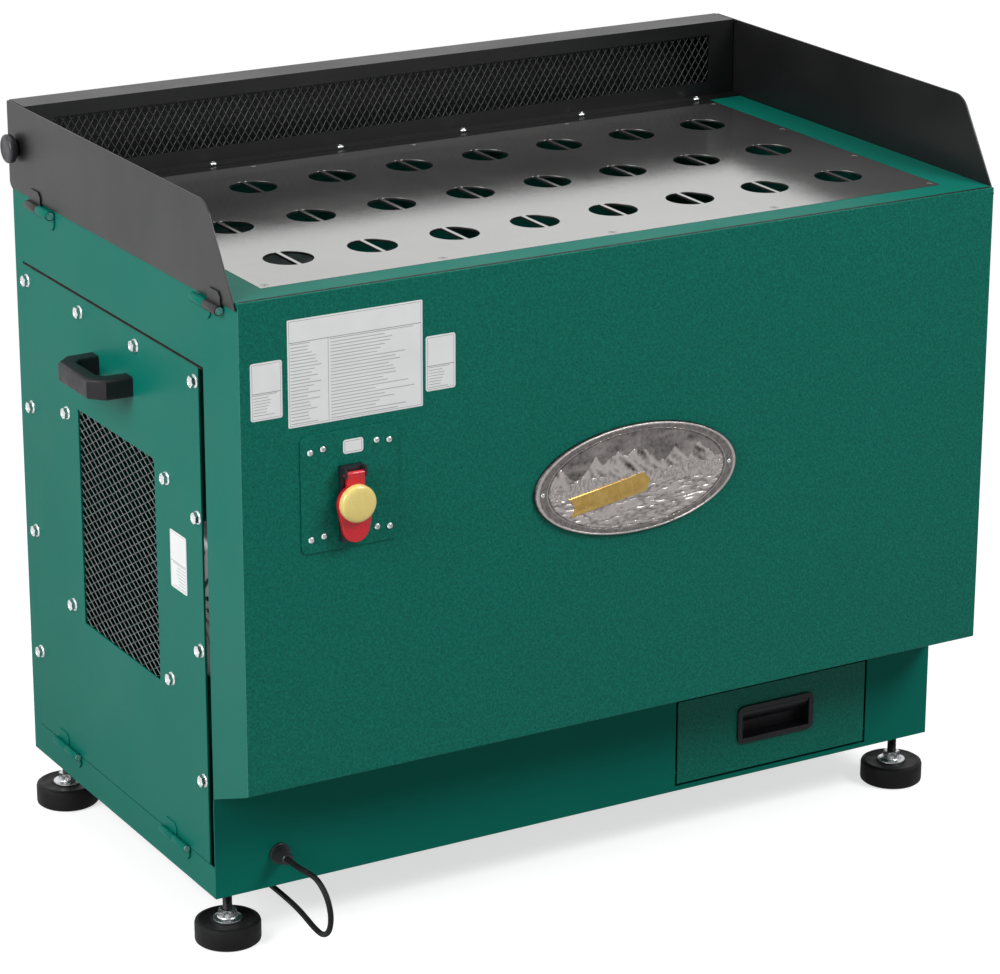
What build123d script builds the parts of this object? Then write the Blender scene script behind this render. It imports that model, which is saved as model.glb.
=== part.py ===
from build123d import *
from math import cos, pi, radians, sin, sqrt, tan
import os

os.makedirs("parts", exist_ok=True)

# A downdraft table for metalwork, in millimetres. x runs across, y to the back and z up.
# The values are taken from the middle of the base's lower front edge, and the finished
# pieces are then set about the middle of the floor that the whole table covers.

# Cabinet of folded sheet
cabinet_width = 1040
base_depth = 540
cabinet_height = 763
apron_reach = 94
apron_foot = 168
soffit_root = 130
sheet = 1.5
apron_sheet = 2
apron_seam = 1.5
floor_rise = 24
overrun = 5
rest_gap = 0.3
running_gap = 0.05
half_width = cabinet_width / 2
side_inner = half_width - sheet
back_inner = base_depth - sheet
apron_inner = apron_sheet - apron_reach
soffit_slope = (apron_foot - soffit_root) / apron_reach
sheet_rise = sheet * sqrt(1 + soffit_slope**2)

# Worktop plate and the rim that it drops into
plate_side_inset = 50
plate_front = -50
plate_back_inset = 82
plate_width = cabinet_width - 2 * plate_side_inset
plate_depth = base_depth - plate_back_inset - plate_front
plate_thickness = 3
plate_gap = 1
rim_wall = 1.5
ledge_width = 18
bearer_place = 110
bearer_thickness = 4
bearer_height = 24
air_hole_radius = 30
air_hole_bar = 5
air_hole_columns = 8
air_hole_rows = 3
air_hole_side = 85
air_hole_end = 98
air_hole_pitch_x = (plate_width - 2 * air_hole_side) / (air_hole_columns - 1)
air_hole_pitch_y = (plate_depth - 2 * air_hole_end) / (air_hole_rows - 1)
plate_screw_inset = 10
plate_screw_radius = 2.5
plate_screw_head_radius = 4.8
plate_screw_length = 12
plate_screw_clearance = 0.4
plate_screws_long = 5
plate_screws_short = 4
plate_middle_y = plate_front + plate_depth / 2
ledge_top = cabinet_height - plate_thickness
rim_underside = cabinet_height - sheet

# Left access door, hinged along its lower edge
door_front = 12.5
door_back_inset = 27
door_back = base_depth - door_back_inset
door_foot = 42
door_top = 661
door_sheet = 2
door_proud = 0.8
door_top_gap = 3.5
door_side_gap = 2
jamb_width = 24
jamb_lap = 18
jamb_front = 15
door_screw_inset_y = 10
door_screw_inset_z = 19
door_screw_bottom = 104
door_screw_radius = 4
door_screw_flange_radius = 8.5
door_screw_flange = 1.5
door_screw_head = 5
door_screw_flats = 13
door_screw_length = 9
jamb_hole_clearance = 1.5
screw_clearance = 0.3
window_front_inset = 126.5
window_back_inset = 154
window_front = door_front + window_front_inset
window_back = door_back - window_back_inset
window_foot = 233
window_top = 514
mesh_sheet = 1.5
mesh_screw_out = 33
mesh_screw_in = 14
mesh_margin = 11
door_diamond_width = 29
door_diamond_height = 15.6
diamond_strand = 2.2
handle_front = 192
handle_back = 312
handle_middle_z = 588
handle_height = 25
handle_reach = 52
handle_grip = 20
handle_foot = 22
handle_corner = 8
door_outer = half_width + door_proud
door_inner = door_outer - door_sheet
door_mid_y = (door_front + door_back) / 2
opening_back = door_back + door_side_gap
opening_top = door_top + door_top_gap
opening_foot = door_foot - door_side_gap

# Hinges: one knuckle on each leaf, and a headed pin
hinge_gap = 0.4
door_knuckle_radius = 4.5
door_hinge_length = 70
door_hinge_leaf = 1.4
door_leaf_height = 17
door_hinge_spread = 160
door_pin_radius = 2.2
door_axis_drop = 1
shield_knuckle_radius = 6
shield_hinge_length = 66
shield_hinge_leaf = 2
shield_leaf_up = 21
shield_leaf_down = 20
shield_pin_radius = 3
shield_hinge_front = -25
shield_hinge_inset = 97
shield_hinge_back = base_depth - shield_hinge_inset
pin_head = 1.6
shield_side_gap = 0.5
leaf_chamfer = 6

# Fold-down side shields and the back shield with its fume slot
shield_sheet = 2
shield_stand = 1
shield_height = 102
shield_lap = 9
shield_top_front = -22
shield_nose_radius = 30
shield_heel_radius = 10
shield_crown_radius = 4
back_shield_depth = 45
back_shield_end_gap = 0.5
back_lip_depth = 20
back_window_inset = 39
back_window_half = half_width - back_window_inset
back_window_foot = 20
back_window_top = 84
back_mesh_margin = 12
back_diamond_width = 17
back_diamond_height = 27
back_diamond_strand = 2.6
fume_slot_end = 42
fume_slot_half = half_width - fume_slot_end
fume_slot_inset = 7
lip_screw_count = 6
lip_screw_pitch = 181
lip_screw_inset = 5
lip_screw_radius = 2.5
lip_screw_head_radius = 5
lip_screw_head = 3
lip_screw_length = 8
shield_plane = half_width + shield_stand
shield_outer = shield_plane + shield_sheet
shield_top = cabinet_height + shield_height
shield_foot = cabinet_height - shield_lap
shield_axis_x = half_width + shield_side_gap + shield_knuckle_radius
shield_axis_z = shield_foot - shield_knuckle_radius - shield_stand
back_shield_front = base_depth - back_shield_depth

# Knobs that lock the side shields to the back shield
knob_inset = 23
knob_y = base_depth - knob_inset
knob_z = 809
knob_radius = 18
knob_head = 10
knob_boss_radius = 11
knob_boss = 4
knob_edge = 2.5
stud_radius = 4
stud_reach = 9
stud_hole_radius = 7.5

# Dust drawer, its runners and the hopper above it
drawer_left = 131
drawer_right = 419
drawer_foot = 9
drawer_top = 121
drawer_gap = 3
drawer_front_sheet = 1.5
tray_back_room = 160
tray_depth = base_depth - tray_back_room
tray_wall = 1.2
tray_height = 100
tray_inset = 12
tray_lift = 4
tray_setback = 2
runner_wall = 2
runner_ledge = 18
runner_back_room = 140
runner_length = base_depth - runner_back_room
runner_foot_gap = 1
pull_left = 221
pull_right = 337
pull_foot = 45
pull_top = 96
pull_corner = 9
pull_flange = 3
pull_border = 7
pull_depth = 20
pull_wall = 2
hopper_height = 290
hopper_foot = 128
hopper_sheet = 1.5
hopper_mouth_inset = 8

# Paddle switch on its plate
switch_plate_left = -446
switch_plate_right = -321
switch_plate_foot = 454
switch_plate_top = 596
switch_plate_sheet = 2
switch_plate_corner = 8
switch_screw_out = 51
switch_screw_in = 34.5
switch_screw_inset = 18.5
switch_screw_stagger = 2
switch_screw_radius = 2
switch_screw_head_radius = 3.8
switch_screw_head = 2.2
switch_screw_length = 8
housing_width = 29
housing_top = 554
housing_foot = 463
housing_proud = 8
housing_wall = 2.5
housing_depth = 46
housing_ear = 3
housing_ear_reach = 8
housing_corner = 1.5
flap_axis_z = 546
flap_axis_out = 14.5
flap_eye_radius = 3.6
flap_pin_radius = 1.5
flap_side_gap = 0.4
flap_thickness = 6
flap_lobe_radius = 23
flap_lobe_z = 511
flap_tongue_foot = 464
flap_tongue_radius = 17
thumb_radius = 22.5
thumb_z = 512
thumb_thickness = 10
thumb_edge = 2.5
start_z = 525
stop_z = 486
button_radius = 8
button_proud = 1
button_flange_radius = 10
button_flange = 2.5
button_stem_radius = 3
button_stem = 16
button_side_gap = 0.3
switch_middle_x = (switch_plate_left + switch_plate_right) / 2
switch_face = apron_reach + switch_plate_sheet

# Oval plaque on the apron
plaque_middle_x = 3
plaque_middle_z = 472
plaque_width = 284
plaque_height = 137
plaque_thickness = 4
plaque_bead_width = 5
plaque_bead = 1.5
plaque_inset = 4

# Partition walls, deck and filters
filter_wall_x = -150
blower_wall_x = -210
deck_height = 660
flange_width = 14
filter_back_inset = 145
filter_pitch = 250
filter_back_y = base_depth - filter_back_inset
filter_count_y = (filter_back_y - filter_pitch, filter_back_y)
filter_z = 440
filter_radius = 98
filter_pleat = 15
filter_pleats = 48
filter_length = 380
filter_core_radius = 76
filter_cap_radius = 103
filter_cap = 12
filter_seal_gap = 0.2
rod_radius = 4
rod_tail = 16
rod_nut_flats = 16
rod_nut = 8
strap_width = 24
strap_thickness = 4
strap_length = 200
baffle_height = 600
baffle_hole = 26
baffle_pitch = 60

# Blower and its motor
blower_forward = 5
blower_y = base_depth / 2 - blower_forward
blower_z = 273
scroll_start_radius = 138
scroll_step = 18
scroll_width = 76
scroll_wall = 1.5
scroll_tongue = 12
inlet_radius = 82
outlet_drop = 96
impeller_radius = 122
impeller_eye_radius = 84
impeller_width = 56
impeller_sheet = 2
impeller_gap = 6
impeller_blades = 12
blade_sheet = 2
blade_inner_radius = 88
blade_lean = 35
hub_radius = 20
hub_length = 34
shaft_radius = 9.5
rotor_radius = 46
rotor_length = 60
motor_radius = 88
motor_bore_radius = 58
motor_length = 92
motor_end_wall = 12
motor_flange_radius = 100
motor_flange = 6
motor_fins = 40
motor_fin_height = 8
motor_fin_width = 2.4
cowl_radius = 96
cowl_length = 30
cowl_wall = 1.5
cowl_slots = 16
cowl_slot_inner = 34
cowl_slot_outer = 84
cowl_slot_width = 6
cowl_edge = 8
cowl_post_radius = 7.2

# Levelling feet
foot_side_inset = 30
foot_x = half_width - foot_side_inset
foot_front = 32
foot_back = base_depth - foot_front
floor_level = -72
foot_pad_radius = 40.5
foot_pad_height = 28
foot_pad_edge = 3
foot_pad_bore_depth = 10
foot_cup_radius = 18
foot_cup = 4
foot_nut_flats = 19
foot_nut = 9
foot_stem_radius = 6
foot_stem_top = 62
foot_socket_side = 44
foot_socket_height = 14

# Mains lead, its gland and plug
cord_radius = 3.5
gland_x = -435
gland_z = 42
gland_flange_radius = 13
gland_flange = 4
gland_length = 24
gland_nose_radius = 7.5
coil_middle_x = -352
coil_middle_y = 247
coil_radius = 48
coil_pitch = 7.8
coil_rise = 7.6
coil_halves = 5
plug_length = 38
plug_width = 26
plug_height = 21
plug_neck = 24
plug_neck_radius = 7.5
plug_tail_radius = 4.4
plug_edge = 5
plug_pin_length = 18
plug_pin_width = 6.5
plug_pin_thickness = 1.6
plug_pin_spread = 6.4
plug_earth_radius = 2.4
plug_earth_length = 20
plug_earth_drop = 6
corner_share = 0.45
coil_samples = 1200
cord_floor = floor_level + cord_radius
cord_route = [
    (-435, -24, 42), (-435, -48, 42), (-434.5, -72, 45), (-434, -97, 46.5),
    (-432, -117.5, 33), (-430.5, -126, 9.5), (-429, -118, -14.5), (-427, -97.5, -29),
    (-425, -72.5, -31), (-423, -48, -29), (-421, -23, -27.5), (-420, 2, -27),
    (-419, 27, -27.5), (-418, 52, -28.5), (-416, 77, -30.5), (-414, 101, -35),
    (-411, 125, -43), (-408, 149, -52.5), (-405, 173, -61), (-402, 197, -67),
    (-400, 220, -68.5), (-400, 240, -68.5),
]

# The origin: the middle of the covered floor, at floor level
knob_reach = shield_outer + knob_boss + knob_head + rest_gap
handle_face = door_outer + handle_reach
thumb_face = apron_reach + flap_axis_out + flap_thickness / 2 + thumb_thickness
pad_back = foot_back + foot_pad_radius
origin = Location(
    ((handle_face - knob_reach) / 2, (thumb_face - pad_back) / 2, -floor_level)
)


def save(part, name):
    """Sets a finished piece about the origin, labels it and writes it."""
    finished = part.moved(origin)
    finished.label = name
    export_step(finished, f"parts/{name}.step")


def side_plane(x):
    """A plane across the table: its sketches lie in y and z and are raised towards +x."""
    return Plane.YZ.offset(x)


def front_plane(y):
    """A plane facing the user: its sketches lie in x and z and are raised towards -y."""
    return Plane.XZ.offset(-y)


def level(z):
    """A flat plane at a height: its sketches are raised upwards."""
    return Plane.XY.offset(z)


def block(x, y, z, mode=Mode.ADD):
    """A block from the low to the high end that each axis is given."""
    low, high = zip(x, y, z)
    middle = tuple((a + b) / 2 for a, b in zip(low, high))
    with Locations(middle):
        Box(high[0] - low[0], high[1] - low[1], high[2] - low[2], mode=mode)


def rod_x(x, y, z, radius, mode=Mode.ADD):
    """A round bar along x, from the first x to the second."""
    with Locations(Location(((x[0] + x[1]) / 2, y, z), (0, 90, 0))):
        Cylinder(radius, x[1] - x[0], mode=mode)


def rod_y(x, y, z, radius, mode=Mode.ADD):
    """A round bar along y, from the first y to the second."""
    with Locations(Location((x, (y[0] + y[1]) / 2, z), (90, 0, 0))):
        Cylinder(radius, y[1] - y[0], mode=mode)


def rod_z(x, y, z, radius, mode=Mode.ADD):
    """A round bar along z, from the first z to the second."""
    with Locations((x, y, (z[0] + z[1]) / 2)):
        Cylinder(radius, z[1] - z[0], mode=mode)


def soffit_at(y):
    """Height of the apron's sloping underside at y."""
    return soffit_root - soffit_slope * y


def spread(first, last, count):
    """Evenly spaced places from the first to the last."""
    return [first + (last - first) * i / (count - 1) for i in range(count)]


def wall_outline(front_gap, top):
    """The cabinet's section, seen from the side, for a wall that reaches up to top."""
    return [
        (front_gap, 0),
        (base_depth - front_gap, 0),
        (base_depth - front_gap, top),
        (apron_inner, top),
        (apron_inner, soffit_at(apron_inner)),
        (0, soffit_root),
        (front_gap, soffit_root),
    ]


# Base front, folded forward at its top into the apron's soffit
with BuildPart() as base_front:
    block((-half_width, half_width), (0, sheet), (0, soffit_root - sheet))
    block((-side_inner, side_inner), (0, sheet), (soffit_root - 2 * sheet, soffit_root))
    with BuildSketch(side_plane(-side_inner)):
        with BuildLine():
            Polyline(
                (sheet, soffit_at(sheet)),
                (apron_inner, soffit_at(apron_inner)),
                (apron_inner, soffit_at(apron_inner) + sheet_rise),
                (sheet, soffit_at(sheet) + sheet_rise),
                close=True,
            )
        make_face()
    extrude(amount=2 * side_inner)
    block(
        (drawer_left - drawer_gap, drawer_right + drawer_gap),
        (-overrun, overrun),
        (drawer_foot - drawer_gap, drawer_top + drawer_gap),
        Mode.SUBTRACT,
    )
save(base_front.part, "base_front")

# Raised floor, with a threaded socket welded on it over each levelling stem
foot_places = {
    "front_left": (-foot_x, foot_front),
    "front_right": (foot_x, foot_front),
    "back_left": (-foot_x, foot_back),
    "back_right": (foot_x, foot_back),
}
with BuildPart() as base_floor:
    block((-side_inner, side_inner), (sheet, back_inner), (floor_rise, floor_rise + sheet))
    block((-side_inner, side_inner), (back_inner - sheet, back_inner), (0, floor_rise))
    socket_top = floor_rise + sheet + foot_socket_height
    for x, y in foot_places.values():
        block(
            (x - foot_socket_side / 2, x + foot_socket_side / 2),
            (y - foot_socket_side / 2, y + foot_socket_side / 2),
            (floor_rise + sheet, socket_top),
        )
        rod_z(
            x, y, (floor_rise - overrun, socket_top + overrun),
            foot_stem_radius + running_gap, Mode.SUBTRACT,
        )
save(base_floor.part, "base_floor")

# Left side sheet with the door opening and the jamb that the door's screws pull against
door_screw_places = (
    [(door_front + door_screw_inset_y, z)
     for z in spread(door_foot + door_screw_bottom, door_top - door_screw_inset_z, 4)]
    + [(door_back - door_screw_inset_y, z)
       for z in spread(door_foot + door_screw_bottom, door_top - door_screw_inset_z, 4)]
    + [(y, door_top - door_screw_inset_z)
       for y in spread(door_front + door_screw_inset_y, door_back - door_screw_inset_y, 4)[1:3]]
)
with BuildPart() as left_side:
    with BuildSketch(side_plane(-half_width)):
        Polygon(*wall_outline(sheet, rim_underside), align=None)
    extrude(amount=sheet)
    block(
        (-half_width - overrun, -half_width + overrun),
        (0, opening_back),
        (opening_foot, opening_top),
        Mode.SUBTRACT,
    )
    block(
        (-side_inner, -side_inner + sheet),
        (jamb_front, opening_back + jamb_lap),
        (floor_rise + sheet, opening_top + jamb_lap),
    )
    block(
        (-side_inner - overrun, -side_inner + overrun),
        (jamb_front + jamb_width, opening_back - jamb_width),
        (opening_foot + jamb_width, opening_top - jamb_width),
        Mode.SUBTRACT,
    )
    for y, z in door_screw_places:
        rod_x(
            (-side_inner - overrun, -side_inner + overrun), y, z,
            door_screw_radius + jamb_hole_clearance, Mode.SUBTRACT,
        )
save(left_side.part, "left_side")

# Plain right side sheet and back sheet
with BuildPart() as right_side:
    with BuildSketch(side_plane(side_inner)):
        Polygon(*wall_outline(sheet, rim_underside), align=None)
    extrude(amount=sheet)
save(right_side.part, "right_side")

with BuildPart() as back_panel:
    block((-side_inner, side_inner), (back_inner, base_depth), (0, rim_underside))
save(back_panel.part, "back_panel")

# Apron front sheet, with the cut-out and the screw holes for the switch
switch_cut = housing_width / 2 + rest_gap
switch_screw_places = [
    (switch_middle_x + side * out, z + shift)
    for z in (switch_plate_foot + switch_screw_inset, switch_plate_top - switch_screw_inset)
    for side in (-1, 1)
    for out, shift in ((switch_screw_out, -switch_screw_stagger), (switch_screw_in, 0))
]
with BuildPart() as apron_front:
    block((-half_width, half_width), (-apron_reach, apron_inner), (apron_foot, cabinet_height))
    edge_lines = apron_front.edges().filter_by(Axis.X).group_by(Axis.Y)[0]
    fillet(edge_lines, radius=apron_sheet / 2)
    block(
        (switch_middle_x - switch_cut, switch_middle_x + switch_cut),
        (-apron_reach - overrun, apron_inner + overrun),
        (housing_foot - rest_gap, housing_top + rest_gap),
        Mode.SUBTRACT,
    )
    for x, z in switch_screw_places:
        rod_y(
            x, (-apron_reach - overrun, apron_inner + overrun), z,
            switch_screw_radius + screw_clearance, Mode.SUBTRACT,
        )
save(apron_front.part, "apron_front")

# Rim: a flat frame with a stepped ledge for the plate, two bearers and the fume slot
plate_edge_x = plate_width / 2 + plate_gap
plate_edge_front = plate_front - plate_gap
plate_edge_back = plate_front + plate_depth + plate_gap
plate_screw_x = plate_width / 2 - plate_screw_inset
plate_screw_front = plate_front + plate_screw_inset
plate_screw_back = plate_front + plate_depth - plate_screw_inset
plate_screw_places = [
    (x, y)
    for x in spread(-plate_screw_x, plate_screw_x, plate_screws_long)
    for y in (plate_screw_front, plate_screw_back)
] + [
    (x, y)
    for x in (-plate_screw_x, plate_screw_x)
    for y in spread(plate_screw_front, plate_screw_back, plate_screws_short)[1:-1]
]
lip_screw_places = [
    ((i - (lip_screw_count - 1) / 2) * lip_screw_pitch,
     back_shield_front - back_lip_depth + lip_screw_inset)
    for i in range(lip_screw_count)
]
with BuildPart() as top_rim:
    block(
        (-half_width, half_width),
        (apron_inner + apron_seam, base_depth),
        (rim_underside, cabinet_height),
    )
    block(
        (-plate_edge_x - rim_wall, plate_edge_x + rim_wall),
        (plate_edge_front - rim_wall, plate_edge_back + rim_wall),
        (ledge_top - rim_wall, cabinet_height),
    )
    block(
        (-plate_edge_x, plate_edge_x),
        (plate_edge_front, plate_edge_back),
        (ledge_top, cabinet_height + overrun),
        Mode.SUBTRACT,
    )
    block(
        (-plate_edge_x + ledge_width, plate_edge_x - ledge_width),
        (plate_edge_front + ledge_width, plate_edge_back - ledge_width),
        (ledge_top - overrun, ledge_top + overrun),
        Mode.SUBTRACT,
    )
    block(
        (-fume_slot_half, fume_slot_half),
        (back_shield_front + fume_slot_inset, base_depth - fume_slot_inset),
        (rim_underside - overrun, cabinet_height + overrun),
        Mode.SUBTRACT,
    )
    for x, y in plate_screw_places:
        rod_z(
            x, y, (ledge_top - overrun, ledge_top + overrun),
            plate_screw_radius + plate_screw_clearance, Mode.SUBTRACT,
        )
    for x, y in lip_screw_places:
        rod_z(
            x, y, (rim_underside - overrun, cabinet_height + overrun),
            lip_screw_radius + screw_clearance, Mode.SUBTRACT,
        )
with BuildPart() as rim_bearers:
    for x in (-bearer_place, bearer_place):
        block(
            (x - bearer_thickness / 2, x + bearer_thickness / 2),
            (plate_edge_front, plate_edge_back),
            (ledge_top - bearer_height, ledge_top - rim_wall),
        )
        block(
            (x - bearer_thickness / 2, x + bearer_thickness / 2),
            (plate_edge_front + ledge_width, plate_edge_back - ledge_width),
            (ledge_top - 2 * rim_wall, ledge_top),
        )
save(Compound([top_rim.part, rim_bearers.part]), "top_rim")

# Worktop plate: each round air hole keeps a narrow bar across it
with BuildPart() as worktop_plate:
    block(
        (-plate_width / 2, plate_width / 2),
        (plate_front, plate_front + plate_depth),
        (ledge_top, cabinet_height),
    )
    with BuildSketch(Plane((0, plate_middle_y, ledge_top))) as air_holes:
        with GridLocations(
            air_hole_pitch_x, air_hole_pitch_y, air_hole_columns, air_hole_rows
        ):
            Circle(air_hole_radius)
            Rectangle(air_hole_bar, 2 * air_hole_radius, mode=Mode.SUBTRACT)
    extrude(amount=plate_thickness, mode=Mode.SUBTRACT)
    head_drop = plate_screw_head_radius - plate_screw_radius
    for x, y in plate_screw_places:
        rod_z(
            x, y, (ledge_top - overrun, cabinet_height + overrun),
            plate_screw_radius + plate_screw_clearance, Mode.SUBTRACT,
        )
        with Locations((x, y, cabinet_height)):
            Cone(
                plate_screw_radius, plate_screw_head_radius + plate_screw_clearance,
                head_drop + plate_screw_clearance,
                align=(Align.CENTER, Align.CENTER, Align.MAX), mode=Mode.SUBTRACT,
            )
save(worktop_plate.part, "worktop_plate")

with BuildPart() as worktop_screws:
    for x, y in plate_screw_places:
        with Locations((x, y, cabinet_height)):
            Cone(
                plate_screw_radius, plate_screw_head_radius, head_drop,
                align=(Align.CENTER, Align.CENTER, Align.MAX),
            )
        rod_z(
            x, y, (cabinet_height - plate_screw_length, cabinet_height - head_drop),
            plate_screw_radius,
        )
save(worktop_screws.part, "worktop_screws")


# Walls between the filter chamber, the clean air space and the blower bay
def bay_wall(x):
    """A partition that follows the cabinet's section, with a flange under the deck."""
    outline = [
        (sheet, floor_rise + sheet),
        (back_inner, floor_rise + sheet),
        (back_inner, deck_height),
        (apron_inner, deck_height),
        (apron_inner, soffit_at(apron_inner) + sheet_rise),
        (sheet, soffit_at(sheet) + sheet_rise),
    ]
    with BuildSketch(side_plane(x)) as section:
        Polygon(*outline, align=None)
    extrude(section.sketch, amount=sheet)
    block(
        (x - flange_width, x + sheet),
        (apron_inner, back_inner),
        (deck_height - sheet, deck_height),
    )


with BuildPart() as filter_wall:
    bay_wall(filter_wall_x)
    for y in filter_count_y:
        rod_x(
            (filter_wall_x - overrun, filter_wall_x + overrun), y, filter_z,
            filter_core_radius, Mode.SUBTRACT,
        )
save(filter_wall.part, "filter_wall")

with BuildPart() as blower_wall:
    bay_wall(blower_wall_x)
    rod_x(
        (blower_wall_x - overrun, blower_wall_x + overrun), blower_y, blower_z,
        inlet_radius, Mode.SUBTRACT,
    )
save(blower_wall.part, "blower_wall")

# Deck over the blower bay, with an upturned lip that keeps dust on the filter side
with BuildPart() as air_deck:
    deck_left = -side_inner + sheet
    block(
        (deck_left, filter_wall_x + sheet),
        (apron_inner, back_inner),
        (deck_height, deck_height + sheet),
    )
    block(
        (deck_left, deck_left + sheet),
        (apron_inner, back_inner),
        (deck_height, deck_height + flange_width),
    )
save(air_deck.part, "air_deck")

# Perforated spark baffle above the filters, folded down at both ends onto the walls
with BuildPart() as spark_baffle:
    baffle_left = filter_wall_x + sheet
    block((baffle_left, side_inner), (sheet, back_inner), (baffle_height, baffle_height + sheet))
    for x in ((baffle_left, baffle_left + sheet), (side_inner - sheet, side_inner)):
        block(x, (sheet, back_inner), (baffle_height - flange_width, baffle_height))
    with BuildSketch(Plane(((baffle_left + side_inner) / 2, base_depth / 2, baffle_height))):
        with GridLocations(
            baffle_pitch, baffle_pitch,
            int((side_inner - baffle_left) / baffle_pitch) - 1,
            int(base_depth / baffle_pitch) - 1,
        ):
            Circle(baffle_hole / 2)
    extrude(amount=sheet, mode=Mode.SUBTRACT)
save(spark_baffle.part, "spark_baffle")

# Hopper: four sloping sheets that lead the dust into the drawer
hopper_left = filter_wall_x + sheet
tray_left = drawer_left + tray_inset
tray_right = drawer_right - tray_inset
tray_front = drawer_front_sheet + tray_setback
tray_back = tray_front + tray_depth


def hopper_corners(inset):
    """The hopper's corners at its mouth and at its top, in turn, drawn in by inset."""
    foot_inset = hopper_mouth_inset + inset
    levels = []
    for z, x, y in (
        (hopper_foot, (tray_left + foot_inset, tray_right - foot_inset),
         (tray_front + foot_inset, tray_back - foot_inset)),
        (hopper_height, (hopper_left + inset, side_inner - inset),
         (apron_inner + inset, back_inner - inset)),
    ):
        levels.append((z, [(x[0], y[0]), (x[1], y[0]), (x[1], y[1]), (x[0], y[1])]))
    return levels


hopper_sheets = []
for i in range(4):
    j = (i + 1) % 4
    ends = []
    for (z, outer), (_, inner) in zip(hopper_corners(0), hopper_corners(hopper_sheet)):
        with BuildSketch(level(z)) as end:
            Polygon(outer[i], outer[j], inner[j], inner[i], align=None)
        ends.append(end.sketch)
    with BuildPart() as hopper_side:
        loft(ends)
    hopper_sheets.append(hopper_side.part)
dust_hopper = Compound(hopper_sheets)
save(dust_hopper, "dust_hopper")


# Filter cartridges: pleated media between end caps, drawn onto the wall by a rod each
def pleats(outer, inner):
    """The zigzag outline of a pleated sleeve."""
    points = []
    for i in range(2 * filter_pleats):
        angle = i * pi / filter_pleats
        radius = outer if i % 2 else inner
        points.append((radius * cos(angle), radius * sin(angle)))
    return points


media_start = filter_wall_x + sheet + filter_seal_gap + filter_cap
media_end = media_start + filter_length
rod_end = media_end + filter_cap + rod_tail
with BuildPart() as filter_media:
    for y in filter_count_y:
        with BuildSketch(Plane((media_start, y, filter_z), x_dir=(0, 1, 0), z_dir=(1, 0, 0))):
            Polygon(*pleats(filter_radius, filter_radius - filter_pleat), align=None)
            Circle(filter_core_radius, mode=Mode.SUBTRACT)
        extrude(amount=filter_length)
save(filter_media.part, "filter_media")

with BuildPart() as filter_caps:
    for y in filter_count_y:
        rod_x((media_start - filter_cap, media_start), y, filter_z, filter_cap_radius)
        rod_x((media_end, media_end + filter_cap), y, filter_z, filter_cap_radius)
        rod_x(
            (media_start - filter_cap - overrun, media_start + overrun), y, filter_z,
            filter_core_radius, Mode.SUBTRACT,
        )
        rod_x(
            (media_end - overrun, media_end + filter_cap + overrun), y, filter_z,
            rod_radius + screw_clearance, Mode.SUBTRACT,
        )
    for y in filter_count_y:
        rod_x((filter_wall_x - strap_thickness, rod_end), y, filter_z, rod_radius)
        block(
            (filter_wall_x - strap_thickness, filter_wall_x),
            (y - strap_width / 2, y + strap_width / 2),
            (filter_z - strap_length / 2, filter_z + strap_length / 2),
        )
        nut_plane = Plane(
            (media_end + filter_cap, y, filter_z), x_dir=(0, 1, 0), z_dir=(1, 0, 0)
        )
        with BuildSketch(nut_plane):
            RegularPolygon(rod_nut_flats / 2, 6, major_radius=False)
        extrude(amount=rod_nut)
save(filter_caps.part, "filter_caps")

# Blower housing: a volute of four quarter turns, each wider than the last, and a mouth
# that blows down into the bay
scroll_back = blower_wall_x
scroll_front = blower_wall_x - scroll_width


def volute(inset, drop):
    """The volute's closed outline about the shaft, in y and z, drawn in by inset."""
    centre = (-scroll_step / 2, scroll_step / 2)
    start = None
    for quarter in range(4):
        angle = 180 + 90 * quarter
        radius = scroll_start_radius - inset + scroll_step * quarter
        arc = CenterArc(centre, radius, angle, 90)
        if start is None:
            start = arc @ 0
        turn = radians(angle + 90)
        centre = (centre[0] - scroll_step * cos(turn), centre[1] - scroll_step * sin(turn))
    end = arc @ 1
    tongue = start.X - scroll_tongue - 2 * inset
    lift = scroll_wall + inset
    Polyline(
        (end.X, end.Y), (end.X, end.Y - drop), (tongue, start.Y - drop),
        (tongue, start.Y + lift), (start.X, start.Y + lift), (start.X, start.Y),
    )


with BuildPart() as blower_housing:
    for inset, drop, ends, mode in (
        (0, outlet_drop, (scroll_front, scroll_back), Mode.ADD),
        (scroll_wall, outlet_drop + overrun,
         (scroll_front + scroll_wall, scroll_back - scroll_wall), Mode.SUBTRACT),
    ):
        scroll_plane = Plane((ends[0], blower_y, blower_z), x_dir=(0, 1, 0), z_dir=(1, 0, 0))
        with BuildSketch(scroll_plane):
            with BuildLine():
                volute(inset, drop)
            make_face()
        extrude(amount=ends[1] - ends[0], mode=mode)
    rod_x(
        (scroll_back - overrun, scroll_back + overrun), blower_y, blower_z,
        inlet_radius, Mode.SUBTRACT,
    )
    rod_x(
        (scroll_front - overrun, scroll_front + overrun), blower_y, blower_z,
        motor_bore_radius, Mode.SUBTRACT,
    )
save(blower_housing.part, "blower_housing")

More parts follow.
